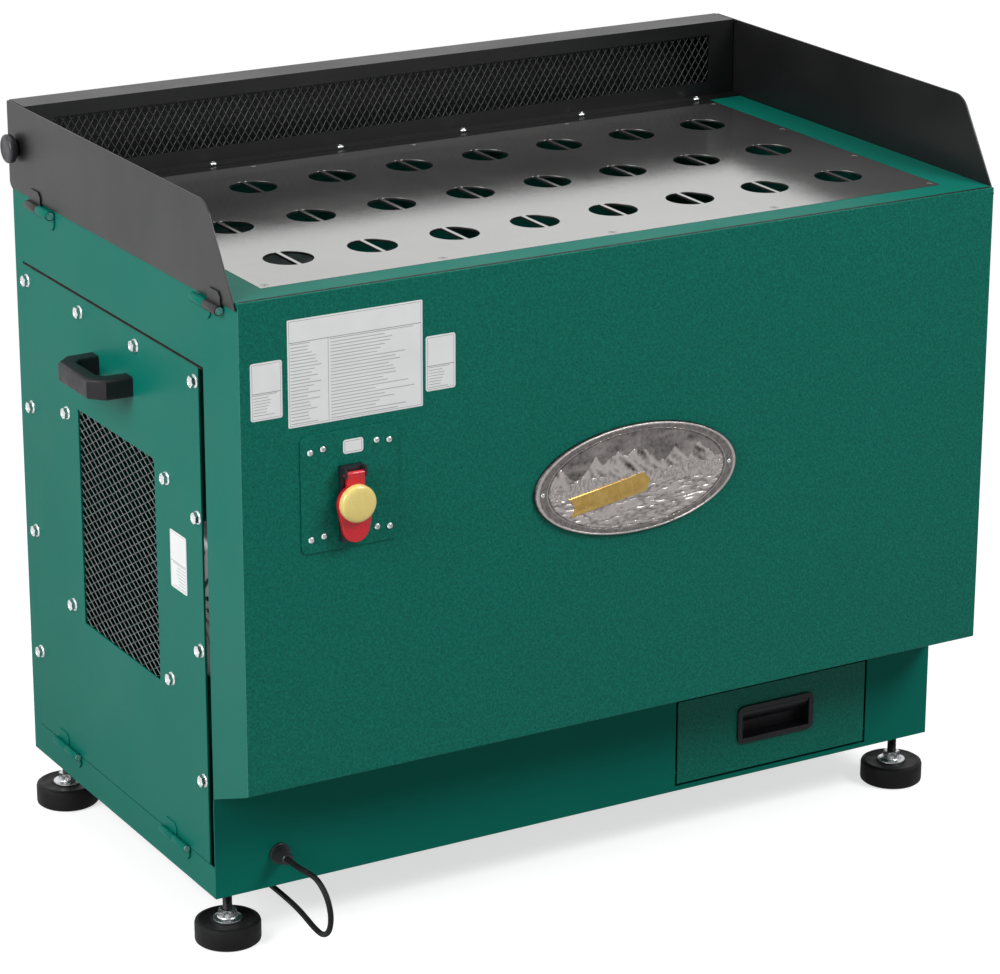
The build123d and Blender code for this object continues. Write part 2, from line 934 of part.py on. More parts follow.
# Impeller: back disc, eye ring, curved blades and hub
impeller_back = scroll_front + scroll_wall + impeller_gap
impeller_front = impeller_back + impeller_width
with BuildPart() as impeller:
    rod_x((impeller_back, impeller_back + impeller_sheet), blower_y, blower_z, impeller_radius)
    rod_x((impeller_front - impeller_sheet, impeller_front), blower_y, blower_z, impeller_radius)
    rod_x(
        (impeller_front - overrun, impeller_front + overrun), blower_y, blower_z,
        impeller_eye_radius, Mode.SUBTRACT,
    )
    blade_plane = Plane((impeller_back, blower_y, blower_z), x_dir=(0, 1, 0), z_dir=(1, 0, 0))
    with BuildSketch(blade_plane):
        with PolarLocations(0, impeller_blades):
            with Locations(((blade_inner_radius + impeller_radius) / 2, 0)):
                Rectangle(
                    (impeller_radius - blade_inner_radius) / cos(radians(blade_lean)) - blade_sheet,
                    blade_sheet,
                    rotation=blade_lean,
                )
    extrude(amount=impeller_width)
    rod_x((impeller_back, impeller_back + hub_length), blower_y, blower_z, hub_radius)
    rod_x(
        (impeller_back - overrun, impeller_front + overrun), blower_y, blower_z,
        shaft_radius, Mode.SUBTRACT,
    )
save(impeller.part, "impeller")

# Motor: finned casing on the blower's side, a slotted cowl over its free end, and its rotor
motor_start = scroll_front
motor_end = motor_start - motor_flange - motor_length
cowl_end = motor_end - cowl_length
with BuildPart() as motor_casing:
    rod_x((motor_start - motor_flange, motor_start), blower_y, blower_z, motor_flange_radius)
    rod_x((motor_end, motor_start - motor_flange), blower_y, blower_z, motor_radius - motor_fin_height)
    fin_plane = Plane((motor_end, blower_y, blower_z), x_dir=(0, 1, 0), z_dir=(1, 0, 0))
    with BuildSketch(fin_plane):
        with PolarLocations(motor_radius - motor_fin_height, motor_fins):
            Rectangle(2 * motor_fin_height, motor_fin_width)
    extrude(amount=motor_length)
    rod_x(
        (motor_end + motor_end_wall, motor_start - motor_end_wall), blower_y, blower_z,
        motor_bore_radius, Mode.SUBTRACT,
    )
    rod_x(
        (motor_end - overrun, motor_start + overrun), blower_y, blower_z,
        shaft_radius + running_gap, Mode.SUBTRACT,
    )
save(motor_casing.part, "motor_casing")

with BuildPart() as motor_cowl:
    rod_x((cowl_end, motor_end), blower_y, blower_z, cowl_radius)
    fillet(motor_cowl.edges().filter_by(GeomType.CIRCLE).sort_by(Axis.X)[0], radius=cowl_edge)
    rod_x(
        (cowl_end + cowl_wall, motor_end + overrun), blower_y, blower_z,
        cowl_radius - cowl_edge - cowl_wall, Mode.SUBTRACT,
    )
    rod_x(
        (cowl_end + cowl_edge, motor_end + overrun), blower_y, blower_z,
        cowl_radius - cowl_wall, Mode.SUBTRACT,
    )
    slot_plane = Plane((cowl_end, blower_y, blower_z), x_dir=(0, 1, 0), z_dir=(1, 0, 0))
    with BuildSketch(slot_plane):
        with PolarLocations((cowl_slot_inner + cowl_slot_outer) / 2, cowl_slots):
            SlotOverall(cowl_slot_outer - cowl_slot_inner, cowl_slot_width)
    extrude(amount=cowl_wall, mode=Mode.SUBTRACT)
    for turn in range(4):
        angle = radians(45 + 90 * turn)
        rod_x(
            (cowl_end + cowl_edge, motor_end),
            blower_y + (cowl_radius - cowl_edge) * cos(angle),
            blower_z + (cowl_radius - cowl_edge) * sin(angle),
            cowl_post_radius,
        )
save(motor_cowl.part, "motor_cowl")

with BuildPart() as motor_shaft:
    rod_x((motor_end - motor_end_wall, impeller_front), blower_y, blower_z, shaft_radius)
    rotor_middle = (motor_end + motor_start) / 2
    rod_x(
        (rotor_middle - rotor_length / 2, rotor_middle + rotor_length / 2),
        blower_y, blower_z, rotor_radius,
    )
save(motor_shaft.part, "motor_shaft")

# Back shield: lip, face with a window, top, back and ends, open below over the fume slot
back_shield_half = half_width - back_shield_end_gap
with BuildPart() as back_shield:
    block(
        (-back_shield_half, back_shield_half),
        (back_shield_front, base_depth),
        (cabinet_height, shield_top),
    )
    block(
        (-half_width, half_width),
        (back_shield_front + shield_sheet, base_depth - shield_sheet),
        (cabinet_height - overrun, shield_top - shield_sheet),
        Mode.SUBTRACT,
    )
    block(
        (-back_shield_half, back_shield_half),
        (back_shield_front - back_lip_depth, back_shield_front + shield_sheet),
        (cabinet_height, cabinet_height + shield_sheet),
    )
    block(
        (-back_window_half, back_window_half),
        (back_shield_front - overrun, back_shield_front + overrun),
        (cabinet_height + back_window_foot, cabinet_height + back_window_top),
        Mode.SUBTRACT,
    )
    for x, y in lip_screw_places:
        rod_z(
            x, y, (cabinet_height - overrun, cabinet_height + overrun),
            lip_screw_radius + screw_clearance, Mode.SUBTRACT,
        )
with BuildPart() as back_shield_ends:
    for side in (-1, 1):
        plate = sorted((side * (back_shield_half - shield_sheet), side * back_shield_half))
        block(
            plate,
            (back_shield_front + shield_sheet, base_depth - shield_sheet),
            (cabinet_height, shield_top - shield_sheet),
        )
        rod_x(plate, knob_y, knob_z, stud_hole_radius, Mode.SUBTRACT)
save(Compound([back_shield.part, back_shield_ends.part]), "back_shield")


def diamonds(width, height, pitch_x, pitch_y, strand):
    """A sketch of staggered diamond openings that stay inside width by height."""
    columns = int((width - strand) / pitch_x)
    rows = int((height - strand) / pitch_y)
    for extra in (0, 1):
        with GridLocations(pitch_x, pitch_y, columns - extra, rows - extra):
            Polygon(
                (-(pitch_x - strand) / 2, 0), (0, -(pitch_y - strand) / 2),
                ((pitch_x - strand) / 2, 0), (0, (pitch_y - strand) / 2),
                align=None,
            )


# Expanded metal behind the back shield's window
with BuildPart() as back_mesh:
    mesh_front = back_shield_front + shield_sheet
    mesh_foot = cabinet_height + back_window_foot - back_mesh_margin
    mesh_top = cabinet_height + back_window_top + back_mesh_margin
    block(
        (-back_window_half - back_mesh_margin, back_window_half + back_mesh_margin),
        (mesh_front, mesh_front + mesh_sheet),
        (mesh_foot, mesh_top),
    )
    back_mesh_middle = Plane(
        (0, mesh_front + mesh_sheet, (mesh_foot + mesh_top) / 2), x_dir=(1, 0, 0), z_dir=(0, -1, 0)
    )
    with BuildSketch(back_mesh_middle):
        diamonds(
            2 * back_window_half, mesh_top - mesh_foot,
            back_diamond_width, back_diamond_height, back_diamond_strand,
        )
    extrude(amount=mesh_sheet, mode=Mode.SUBTRACT)
save(back_mesh.part, "back_mesh")


# Side shields: flat sheets with a sloping nose, hung on the cabinet's sides
def shield(side):
    """The shield's sheet on the left (-1) or right (1) side."""
    start = side * shield_outer if side < 0 else shield_plane
    with BuildSketch(side_plane(start)) as outline:
        with BuildLine():
            Polyline(
                (apron_inner, shield_foot),
                (base_depth, shield_foot),
                (base_depth, shield_top),
                (shield_top_front, shield_top),
                close=True,
            )
        make_face()
        for corner, radius in (
            ((shield_top_front, shield_top), shield_nose_radius),
            ((base_depth, shield_foot), shield_heel_radius),
            ((base_depth, shield_top), shield_crown_radius),
        ):
            fillet(outline.vertices().sort_by_distance((*corner, 0))[0], radius=radius)
    extrude(outline.sketch, amount=shield_sheet)
    ends = sorted((side * (shield_plane - overrun), side * (shield_outer + overrun)))
    rod_x(ends, knob_y, knob_z, stud_radius + running_gap, Mode.SUBTRACT)


def knuckle(side, axis, radius, ends, pin):
    """A hinge knuckle along y about the axis (x, z), bored for its pin."""
    rod_y(side * axis[0], ends, axis[1], radius)
    rod_y(
        side * axis[0], (ends[0] - overrun, ends[1] + overrun), axis[1],
        pin + running_gap, Mode.SUBTRACT,
    )


def leaf(side, faces, ends, root, tip):
    """A hinge leaf between two faces in x, from its root at the pin to its cut-off tip."""
    near, far = sorted(side * face for face in faces)
    front, back = ends
    shoulder = tip - leaf_chamfer if tip > root else tip + leaf_chamfer
    with BuildSketch(side_plane(near)) as plate:
        Polygon(
            (front, root), (back, root), (back, shoulder), (back - leaf_chamfer, tip),
            (front + leaf_chamfer, tip), (front, shoulder), align=None,
        )
    extrude(plate.sketch, amount=far - near, dir=(1, 0, 0))


def halves(middle, length):
    """The back and front knuckles of a hinge about its middle, a small gap apart."""
    return (
        (middle - length / 2, middle - hinge_gap / 2),
        (middle + hinge_gap / 2, middle + length / 2),
    )


shield_axis = (shield_axis_x, shield_axis_z)
door_axis_x = door_outer + rest_gap + door_knuckle_radius
door_axis_z = door_foot - door_axis_drop
door_axis = (door_axis_x, door_axis_z)
shield_front_halves = halves(shield_hinge_front, shield_hinge_length)
shield_back_halves = halves(shield_hinge_back, shield_hinge_length)
door_hinge_places = (door_mid_y - door_hinge_spread, door_mid_y + door_hinge_spread)


def shield_leaves(side):
    """The two leaves on a side shield: front half of the front hinge, back half of the other."""
    for ends in (shield_front_halves[0], shield_back_halves[1]):
        leaf(
            side, (shield_outer, shield_outer + shield_hinge_leaf), ends,
            shield_axis_z, shield_axis_z + shield_leaf_up,
        )
        knuckle(side, shield_axis, shield_knuckle_radius, ends, shield_pin_radius)


with BuildPart() as left_shield:
    shield(-1)
save(left_shield.part, "left_shield")

with BuildPart() as right_shield:
    shield(1)
save(right_shield.part, "right_shield")

with BuildPart() as left_shield_leaves:
    shield_leaves(-1)
save(left_shield_leaves.part, "left_shield_leaves")

with BuildPart() as right_shield_leaves:
    shield_leaves(1)
save(right_shield_leaves.part, "right_shield_leaves")

# Fixed leaves of all six hinges, on the cabinet's sides
with BuildPart() as cabinet_leaves:
    for side in (-1, 1):
        for ends in (shield_front_halves[1], shield_back_halves[0]):
            leaf(
                side, (half_width, half_width + shield_hinge_leaf), ends,
                shield_axis_z, shield_axis_z - shield_leaf_down,
            )
            knuckle(side, shield_axis, shield_knuckle_radius, ends, shield_pin_radius)
    for middle in door_hinge_places:
        ends = halves(middle, door_hinge_length)[0]
        leaf(
            -1, (half_width, half_width + door_hinge_leaf + door_proud), ends,
            door_axis_z - door_axis_drop, door_axis_z - door_leaf_height,
        )
        knuckle(-1, door_axis, door_knuckle_radius, ends, door_pin_radius)
save(cabinet_leaves.part, "cabinet_leaves")

with BuildPart() as hinge_pins:
    for side in (-1, 1):
        for middle in (shield_hinge_front, shield_hinge_back):
            half = shield_hinge_length / 2
            rod_y(side * shield_axis_x, (middle - half, middle + half), shield_axis_z,
                  shield_pin_radius)
            rod_y(side * shield_axis_x, (middle - half - pin_head, middle - half), shield_axis_z,
                  shield_pin_radius + pin_head)
    for middle in door_hinge_places:
        half = door_hinge_length / 2
        rod_y(-door_axis_x, (middle - half, middle + half), door_axis_z, door_pin_radius)
        rod_y(-door_axis_x, (middle - half - pin_head, middle - half), door_axis_z,
              door_pin_radius + pin_head)
save(hinge_pins.part, "hinge_pins")


# Knobs: a round head on a boss, with the stud moulded in
def shield_knob(side):
    """The knob on the left (-1) or right (1) shield."""
    inner = shield_outer + rest_gap
    spans = (
        (stud_radius, shield_plane - stud_reach, inner + knob_boss),
        (knob_boss_radius, inner, inner + knob_boss),
        (knob_radius, inner + knob_boss, inner + knob_boss + knob_head),
    )
    for radius, near, far in spans:
        rod_x(sorted((side * near, side * far)), knob_y, knob_z, radius)


with BuildPart() as left_knob:
    shield_knob(-1)
    fillet(left_knob.edges().filter_by(GeomType.CIRCLE).sort_by(Axis.X)[0], radius=knob_edge)
save(left_knob.part, "left_knob")

with BuildPart() as right_knob:
    shield_knob(1)
    fillet(right_knob.edges().filter_by(GeomType.CIRCLE).sort_by(Axis.X)[-1], radius=knob_edge)
save(right_knob.part, "right_knob")

# Access door, its mesh, handle, screws and leaves
mesh_screw_places = [
    (y, z)
    for y in (window_front - mesh_screw_out, window_back + mesh_screw_out)
    for z in (window_foot + mesh_screw_in, window_top - mesh_screw_in)
]
with BuildPart() as access_door:
    block((-door_outer, -door_inner), (door_front, door_back), (door_foot, door_top))
    block(
        (-door_outer - overrun, -door_inner + overrun),
        (window_front, window_back), (window_foot, window_top),
        Mode.SUBTRACT,
    )
    for y, z in door_screw_places + mesh_screw_places:
        rod_x(
            (-door_outer - overrun, -door_inner + overrun), y, z,
            door_screw_radius + screw_clearance, Mode.SUBTRACT,
        )
save(access_door.part, "access_door")

with BuildPart() as door_mesh:
    half_y = (window_back - window_front) / 2 + mesh_screw_out + mesh_margin
    half_z = (window_top - window_foot) / 2 + mesh_margin
    mesh_mid_y = (window_front + window_back) / 2
    mesh_mid_z = (window_foot + window_top) / 2
    block(
        (-door_inner, -door_inner + mesh_sheet),
        (mesh_mid_y - half_y, mesh_mid_y + half_y),
        (mesh_mid_z - half_z, mesh_mid_z + half_z),
    )
    mesh_plane = Plane((-door_inner, mesh_mid_y, mesh_mid_z), x_dir=(0, 1, 0), z_dir=(1, 0, 0))
    with BuildSketch(mesh_plane):
        diamonds(
            window_back - window_front, window_top - window_foot,
            door_diamond_width, door_diamond_height, diamond_strand,
        )
    extrude(amount=mesh_sheet, mode=Mode.SUBTRACT)
    for y, z in mesh_screw_places:
        rod_x(
            (-door_inner - overrun, -door_inner + overrun), y, z,
            door_screw_radius + screw_clearance, Mode.SUBTRACT,
        )
save(door_mesh.part, "door_mesh")

with BuildPart() as door_handle:
    with BuildSketch(level(handle_middle_z - handle_height / 2)) as bow:
        with BuildLine():
            Polyline(
                (-door_outer, handle_front),
                (-handle_face, handle_front + handle_corner),
                (-handle_face, handle_back - handle_corner),
                (-door_outer, handle_back),
                (-door_outer, handle_back - handle_foot),
                (-handle_face + handle_grip, handle_back - handle_foot - handle_corner),
                (-handle_face + handle_grip, handle_front + handle_foot + handle_corner),
                (-door_outer, handle_front + handle_foot),
                close=True,
            )
        make_face()
    extrude(amount=handle_height)
    fillet(door_handle.edges().filter_by(Axis.Z), radius=handle_corner / 4)
save(door_handle.part, "door_handle")

with BuildPart() as door_screws:
    for places, tail in (
        (door_screw_places, door_screw_length),
        (mesh_screw_places, door_sheet + mesh_sheet + rest_gap),
    ):
        for y, z in places:
            head_start = -door_outer - door_screw_flange
            rod_x((head_start, -door_outer), y, z, door_screw_flange_radius)
            rod_x((-door_outer, -door_outer + tail), y, z, door_screw_radius)
            hex_plane = Plane(
                (head_start - door_screw_head, y, z), x_dir=(0, 1, 0), z_dir=(1, 0, 0)
            )
            with BuildSketch(hex_plane):
                RegularPolygon(door_screw_flats / 2, 6, major_radius=False)
            extrude(amount=door_screw_head)
save(door_screws.part, "door_screws")

with BuildPart() as door_leaves:
    for middle in door_hinge_places:
        ends = halves(middle, door_hinge_length)[1]
        leaf(
            -1, (door_outer, door_outer + door_hinge_leaf), ends,
            door_axis_z + door_axis_drop, door_axis_z + door_leaf_height,
        )
        knuckle(-1, door_axis, door_knuckle_radius, ends, door_pin_radius)
save(door_leaves.part, "door_leaves")

# Dust drawer: tray, front, recessed pull, and the runners on the floor
tray_foot = floor_rise + sheet + runner_foot_gap + tray_lift
tray_top = tray_foot + tray_height - floor_rise
tray_floor = tray_foot + tray_wall
pull_back = pull_depth + pull_wall
pocket_back = pull_back + rest_gap + tray_wall
tray_sides = (tray_left + tray_wall, tray_right - tray_wall)
tray_heights = (tray_floor, tray_top)
tray_plates = []
for x, y, z in (
    ((tray_left, tray_right), (tray_front, tray_back), (tray_foot, tray_floor)),
    ((tray_left, tray_sides[0]), (tray_front, tray_back), tray_heights),
    ((tray_sides[1], tray_right), (tray_front, tray_back), tray_heights),
    (tray_sides, (tray_back - tray_wall, tray_back), tray_heights),
    ((tray_sides[0], pull_left), (tray_front, tray_front + tray_wall), tray_heights),
    ((pull_right, tray_sides[1]), (tray_front, tray_front + tray_wall), tray_heights),
    ((pull_left, pull_left + tray_wall), (tray_front, pocket_back), tray_heights),
    ((pull_right - tray_wall, pull_right), (tray_front, pocket_back), tray_heights),
    (
        (pull_left + tray_wall, pull_right - tray_wall),
        (pull_back + rest_gap, pocket_back),
        tray_heights,
    ),
):
    with BuildPart() as tray_plate:
        block(x, y, z)
    tray_plates.append(tray_plate.part)
save(Compound(tray_plates), "drawer_tray")

with BuildPart() as drawer_front:
    block((drawer_left, drawer_right), (0, drawer_front_sheet), (drawer_foot, drawer_top))
    block(
        (tray_left, tray_right), (drawer_front_sheet, tray_front), (tray_foot, tray_top)
    )
    block(
        (pull_left + pull_border - pull_wall - rest_gap, pull_right - pull_border + pull_wall + rest_gap),
        (-overrun, tray_front + overrun),
        (pull_foot + pull_border - pull_wall - rest_gap, pull_top - pull_border + pull_wall + rest_gap),
        Mode.SUBTRACT,
    )
save(drawer_front.part, "drawer_front")

with BuildPart() as drawer_pull:
    with BuildSketch(front_plane(0)) as pull_face:
        with Locations(((pull_left + pull_right) / 2, (pull_foot + pull_top) / 2)):
            RectangleRounded(pull_right - pull_left, pull_top - pull_foot, pull_corner)
    extrude(amount=pull_flange)
    block(
        (pull_left + pull_border - pull_wall, pull_right - pull_border + pull_wall),
        (0, pull_back),
        (pull_foot + pull_border - pull_wall, pull_top - pull_border + pull_wall),
    )
    block(
        (pull_left + pull_border, pull_right - pull_border),
        (-pull_flange - overrun, pull_depth),
        (pull_foot + pull_border, pull_top - pull_border),
        Mode.SUBTRACT,
    )
save(drawer_pull.part, "drawer_pull")

with BuildPart() as drawer_runners:
    runner_ends = (sheet, sheet + runner_length)
    for inner, outer in (
        (tray_left - rest_gap, tray_left - rest_gap - runner_wall),
        (tray_right + rest_gap, tray_right + rest_gap + runner_wall),
    ):
        block(
            sorted((inner, outer)), runner_ends, (floor_rise + sheet, tray_foot + runner_ledge)
        )
        reach = runner_ledge if inner < (tray_left + tray_right) / 2 else -runner_ledge
        block(
            sorted((inner, inner + reach)), runner_ends,
            (tray_foot - rest_gap - runner_wall, tray_foot - rest_gap),
        )
save(drawer_runners.part, "drawer_runners")

# Paddle switch: plate, screws, housing, flap, thumb pad and the two push buttons
with BuildPart() as switch_plate:
    switch_mid_z = (switch_plate_foot + switch_plate_top) / 2
    with BuildSketch(front_plane(-apron_reach)):
        with Locations((switch_middle_x, switch_mid_z)):
            RectangleRounded(
                switch_plate_right - switch_plate_left,
                switch_plate_top - switch_plate_foot,
                switch_plate_corner,
            )
    extrude(amount=switch_plate_sheet)
    block(
        (switch_middle_x - switch_cut, switch_middle_x + switch_cut),
        (-switch_face - overrun, -apron_reach + overrun),
        (housing_foot - rest_gap, housing_top + rest_gap),
        Mode.SUBTRACT,
    )
    for x, z in switch_screw_places:
        rod_y(
            x, (-switch_face - overrun, -apron_reach + overrun), z,
            switch_screw_radius + screw_clearance, Mode.SUBTRACT,
        )
save(switch_plate.part, "switch_plate")

with BuildPart() as pan_head_screws:
    for x, z in switch_screw_places:
        rod_y(x, (-switch_face - switch_screw_head, -switch_face), z, switch_screw_head_radius)
        rod_y(x, (-switch_face, -switch_face + switch_screw_length), z, switch_screw_radius)
    for x, y in lip_screw_places:
        rod_z(
            x, y,
            (cabinet_height + shield_sheet, cabinet_height + shield_sheet + lip_screw_head),
            lip_screw_head_radius,
        )
        rod_z(
            x, y, (cabinet_height - lip_screw_length, cabinet_height + shield_sheet),
            lip_screw_radius,
        )
save(pan_head_screws.part, "pan_head_screws")

housing_face = switch_face + housing_proud
flap_axis_y = -(apron_reach + flap_axis_out)
with BuildPart() as switch_housing:
    with BuildSketch(front_plane(-switch_face + housing_depth)):
        with Locations((switch_middle_x, (housing_foot + housing_top) / 2)):
            RectangleRounded(housing_width, housing_top - housing_foot, housing_corner)
    extrude(amount=housing_depth + housing_proud)
    block(
        (switch_middle_x - housing_width / 2 + housing_wall,
         switch_middle_x + housing_width / 2 - housing_wall),
        (-housing_face + housing_wall, -switch_face + housing_depth - housing_wall),
        (housing_foot + housing_wall, flap_axis_z - 2 * flap_eye_radius),
        Mode.SUBTRACT,
    )
    for z in (start_z, stop_z):
        rod_y(
            switch_middle_x, (-housing_face - overrun, -housing_face + overrun), z,
            button_radius + button_side_gap, Mode.SUBTRACT,
        )
    for side in (-1, 1):
        outer = switch_middle_x + side * housing_width / 2
        block(
            sorted((outer, outer - side * housing_ear)),
            (-housing_face - housing_ear_reach, -housing_face),
            (flap_axis_z - flap_eye_radius, housing_top),
        )
    rod_x(
        (switch_middle_x - housing_width, switch_middle_x + housing_width),
        flap_axis_y, flap_axis_z, flap_pin_radius + running_gap, Mode.SUBTRACT,
    )
save(switch_housing.part, "switch_housing")

flap_half = housing_width / 2 - housing_ear - flap_side_gap
flap_rear = flap_axis_y + flap_thickness / 2
with BuildPart() as switch_flap:
    rod_x(
        (switch_middle_x - flap_half, switch_middle_x + flap_half),
        flap_axis_y, flap_axis_z, flap_eye_radius,
    )
    rod_x(
        (switch_middle_x - housing_width / 2, switch_middle_x + housing_width / 2),
        flap_axis_y, flap_axis_z, flap_pin_radius,
    )
    with BuildSketch(front_plane(flap_rear)):
        with Locations((switch_middle_x, flap_lobe_z)):
            Circle(flap_lobe_radius)
        with Locations((switch_middle_x, flap_tongue_foot + flap_tongue_radius)):
            Circle(flap_tongue_radius)
        make_hull()
        with Locations((switch_middle_x, (flap_axis_z + flap_lobe_z) / 2)):
            Rectangle(2 * flap_half, flap_axis_z - flap_lobe_z)
    extrude(amount=flap_thickness)
save(switch_flap.part, "switch_flap")

with BuildPart() as flap_thumb:
    rod_y(
        switch_middle_x,
        (flap_rear - flap_thickness - thumb_thickness, flap_rear - flap_thickness),
        thumb_z, thumb_radius,
    )
    fillet(flap_thumb.edges().filter_by(GeomType.CIRCLE).sort_by(Axis.Y)[0], radius=thumb_edge)
save(flap_thumb.part, "flap_thumb")


def push_button(z):
    """A button that stands out of the housing, with a flange and stem behind its wall."""
    inner_face = -housing_face + housing_wall + rest_gap
    rod_y(switch_middle_x, (-housing_face - button_proud, inner_face), z, button_radius)
    rod_y(switch_middle_x, (inner_face, inner_face + button_flange), z, button_flange_radius)
    rod_y(
        switch_middle_x, (inner_face + button_flange, inner_face + button_flange + button_stem),
        z, button_stem_radius,
    )


with BuildPart() as start_button:
    push_button(start_z)
save(start_button.part, "start_button")

with BuildPart() as stop_button:
    push_button(stop_z)
save(stop_button.part, "stop_button")

# Oval plaque with a raised bead
with BuildPart() as front_plaque:
    with BuildSketch(front_plane(-apron_reach)):
        with Locations((plaque_middle_x, plaque_middle_z)):
            Ellipse(plaque_width / 2, plaque_height / 2)
    extrude(amount=plaque_thickness)
    with BuildSketch(front_plane(-apron_reach - plaque_thickness)):
        with Locations((plaque_middle_x, plaque_middle_z)):
            Ellipse(plaque_width / 2 - plaque_inset, plaque_height / 2 - plaque_inset)
            inner_width = plaque_width / 2 - plaque_inset - plaque_bead_width
            inner_height = plaque_height / 2 - plaque_inset - plaque_bead_width
            Ellipse(inner_width, inner_height, mode=Mode.SUBTRACT)
    extrude(amount=plaque_bead)
save(front_plaque.part, "front_plaque")

# Levelling feet: a rubber pad, and a stem with its cup washer and lock nut
pad_top = floor_level + foot_pad_height
for corner, (x, y) in foot_places.items():
    with BuildPart() as foot_pad:
        rod_z(x, y, (floor_level, pad_top), foot_pad_radius)
        fillet(foot_pad.edges().filter_by(GeomType.CIRCLE), radius=foot_pad_edge)
        rod_z(
            x, y, (pad_top - foot_pad_bore_depth, pad_top + overrun),
            foot_stem_radius + screw_clearance, Mode.SUBTRACT,
        )
    save(foot_pad.part, f"foot_pad_{corner}")
    with BuildPart() as foot_stem:
        rod_z(x, y, (pad_top - foot_pad_bore_depth, foot_stem_top), foot_stem_radius)
        rod_z(x, y, (pad_top, pad_top + foot_cup), foot_cup_radius)
        with BuildSketch(Plane((x, y, pad_top + foot_cup))):
            RegularPolygon(foot_nut_flats / 2, 6, major_radius=False)
        extrude(amount=foot_nut)
    save(foot_stem.part, f"foot_stem_{corner}")

# Cord gland, free lead, neat coil and plug
with BuildPart() as cord_gland:
    rod_y(gland_x, (-gland_flange, 0), gland_z, gland_flange_radius)
    with Locations(Location((gland_x, -(gland_flange + gland_length) / 2, gland_z), (90, 0, 0))):
        Cone(gland_flange_radius - gland_flange / 2, gland_nose_radius, gland_length - gland_flange)
save(cord_gland.part, "cord_gland")

route = [Vector(*point) for point in cord_route]
radii = []
for before, here, after in zip(route, route[1:], route[2:]):
    turn = (here - before).get_angle(after - here)
    shorter = min((here - before).length, (after - here).length)
    radii.append(corner_share * shorter / tan(radians(turn / 2)))
print("lead's radii in diameters:", [round(r / cord_radius / 2, 1) for r in radii])
with BuildPart() as power_cord:
    with BuildLine() as lead_line:
        FilletPolyline(*route, radius=radii)
    lead_wire = lead_line.wires()[0]
    with BuildSketch(Plane(lead_wire @ 0, z_dir=lead_wire % 0)):
        Circle(cord_radius)
    sweep(path=lead_wire)
lead_length = lead_wire.length
section = pi * cord_radius**2
volume_share = power_cord.part.volume / (section * lead_length)
print("lead", round(lead_length, 1), "volume share", round(volume_share, 4))
save(power_cord.part, "power_cord")


def coil_path():
    """The coil's line: half turns drawn in on the floor, one that climbs, then out again."""
    side = -1
    radius = coil_radius
    z = cord_floor
    x = coil_middle_x - coil_radius
    edges = [Line((x, coil_middle_y - 2 * cord_radius, z), (x, coil_middle_y, z))]

    def half_turn(x, side, radius, z, rise):
        far = x - side * 2 * radius
        top = (x + far) / 2
        crown = coil_middle_y - side * sqrt(radius**2 + rise**2 / 4)
        middle = (top, crown, z + rise / 2)
        first = TangentArc((x, coil_middle_y, z), middle, tangent=(0, -side, 0))
        second = TangentArc(middle, (far, coil_middle_y, z + rise), tangent=first % 1)
        return far, [first, second]

    steps = [(-coil_pitch / 2, 0)] * coil_halves + [(coil_pitch / 2, coil_rise)]
    steps += [(coil_pitch / 2, 0)] * coil_halves
    for change, rise in steps:
        x, arcs = half_turn(x, side, radius, z, rise)
        edges += arcs
        z += rise
        side = -side
        radius += change
    end = Vector(x, coil_middle_y - side * 2 * cord_radius, z)
    edges.append(Line((x, coil_middle_y, z), end))
    return Wire(edges), end, -side


coil_wire, coil_end, plug_side = coil_path()
with BuildPart() as cord_coil:
    with BuildSketch(Plane(coil_wire @ 0, z_dir=coil_wire % 0)):
        Circle(cord_radius)
    sweep(path=coil_wire)
samples = [coil_wire.position_at(i / coil_samples) for i in range(coil_samples + 1)]
step_length = coil_wire.length / coil_samples
skip = int(6 * cord_radius / step_length)
least = min(
    (samples[i] - samples[j]).length
    for i in range(0, len(samples), 3)
    for j in range(i + skip, len(samples), 3)
)
coil_share = cord_coil.part.volume / (section * coil_wire.length)
print("coil", round(coil_wire.length, 1), "volume share", round(coil_share, 4))
print("coil's least gap", round(least - 2 * cord_radius, 2))
print("cord in all", round(coil_wire.length + lead_length, 1))
save(cord_coil.part, "cord_coil")

plug_start = coil_end.Y
with BuildPart() as plug:
    neck_end = plug_start + plug_side * plug_neck
    body_end = neck_end + plug_side * plug_length
    neck_plane = Plane(coil_end, z_dir=(0, plug_side, 0))
    with Locations(neck_plane):
        Cone(
            plug_tail_radius, plug_neck_radius, plug_neck,
            align=(Align.CENTER, Align.CENTER, Align.MIN),
        )
    block(
        (coil_end.X - plug_width / 2, coil_end.X + plug_width / 2),
        sorted((neck_end, body_end)),
        (coil_end.Z - plug_height / 2, coil_end.Z + plug_height / 2),
    )
    fillet(plug.edges().filter_by(Axis.Y).filter_by(GeomType.LINE), radius=plug_edge)
    pin_end = body_end + plug_side * plug_pin_length
    for side in (-1, 1):
        x = coil_end.X + side * plug_pin_spread
        block(
            (x - plug_pin_thickness / 2, x + plug_pin_thickness / 2),
            sorted((body_end, pin_end)),
            (coil_end.Z - plug_pin_width / 2 + plug_earth_drop / 2,
             coil_end.Z + plug_pin_width / 2 + plug_earth_drop / 2),
        )
    rod_y(
        coil_end.X, sorted((body_end, body_end + plug_side * plug_earth_length)),
        coil_end.Z - plug_earth_drop, plug_earth_radius,
    )
save(plug.part, "plug")
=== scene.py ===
"""A downdraft table: a green steel cabinet whose perforated top draws dust down to its filters."""

from functools import partialmethod
from math import ceil, cos, dist, hypot, pi, radians, sin, sqrt

import bmesh
import bpy
from mathutils import Matrix, Vector, noise


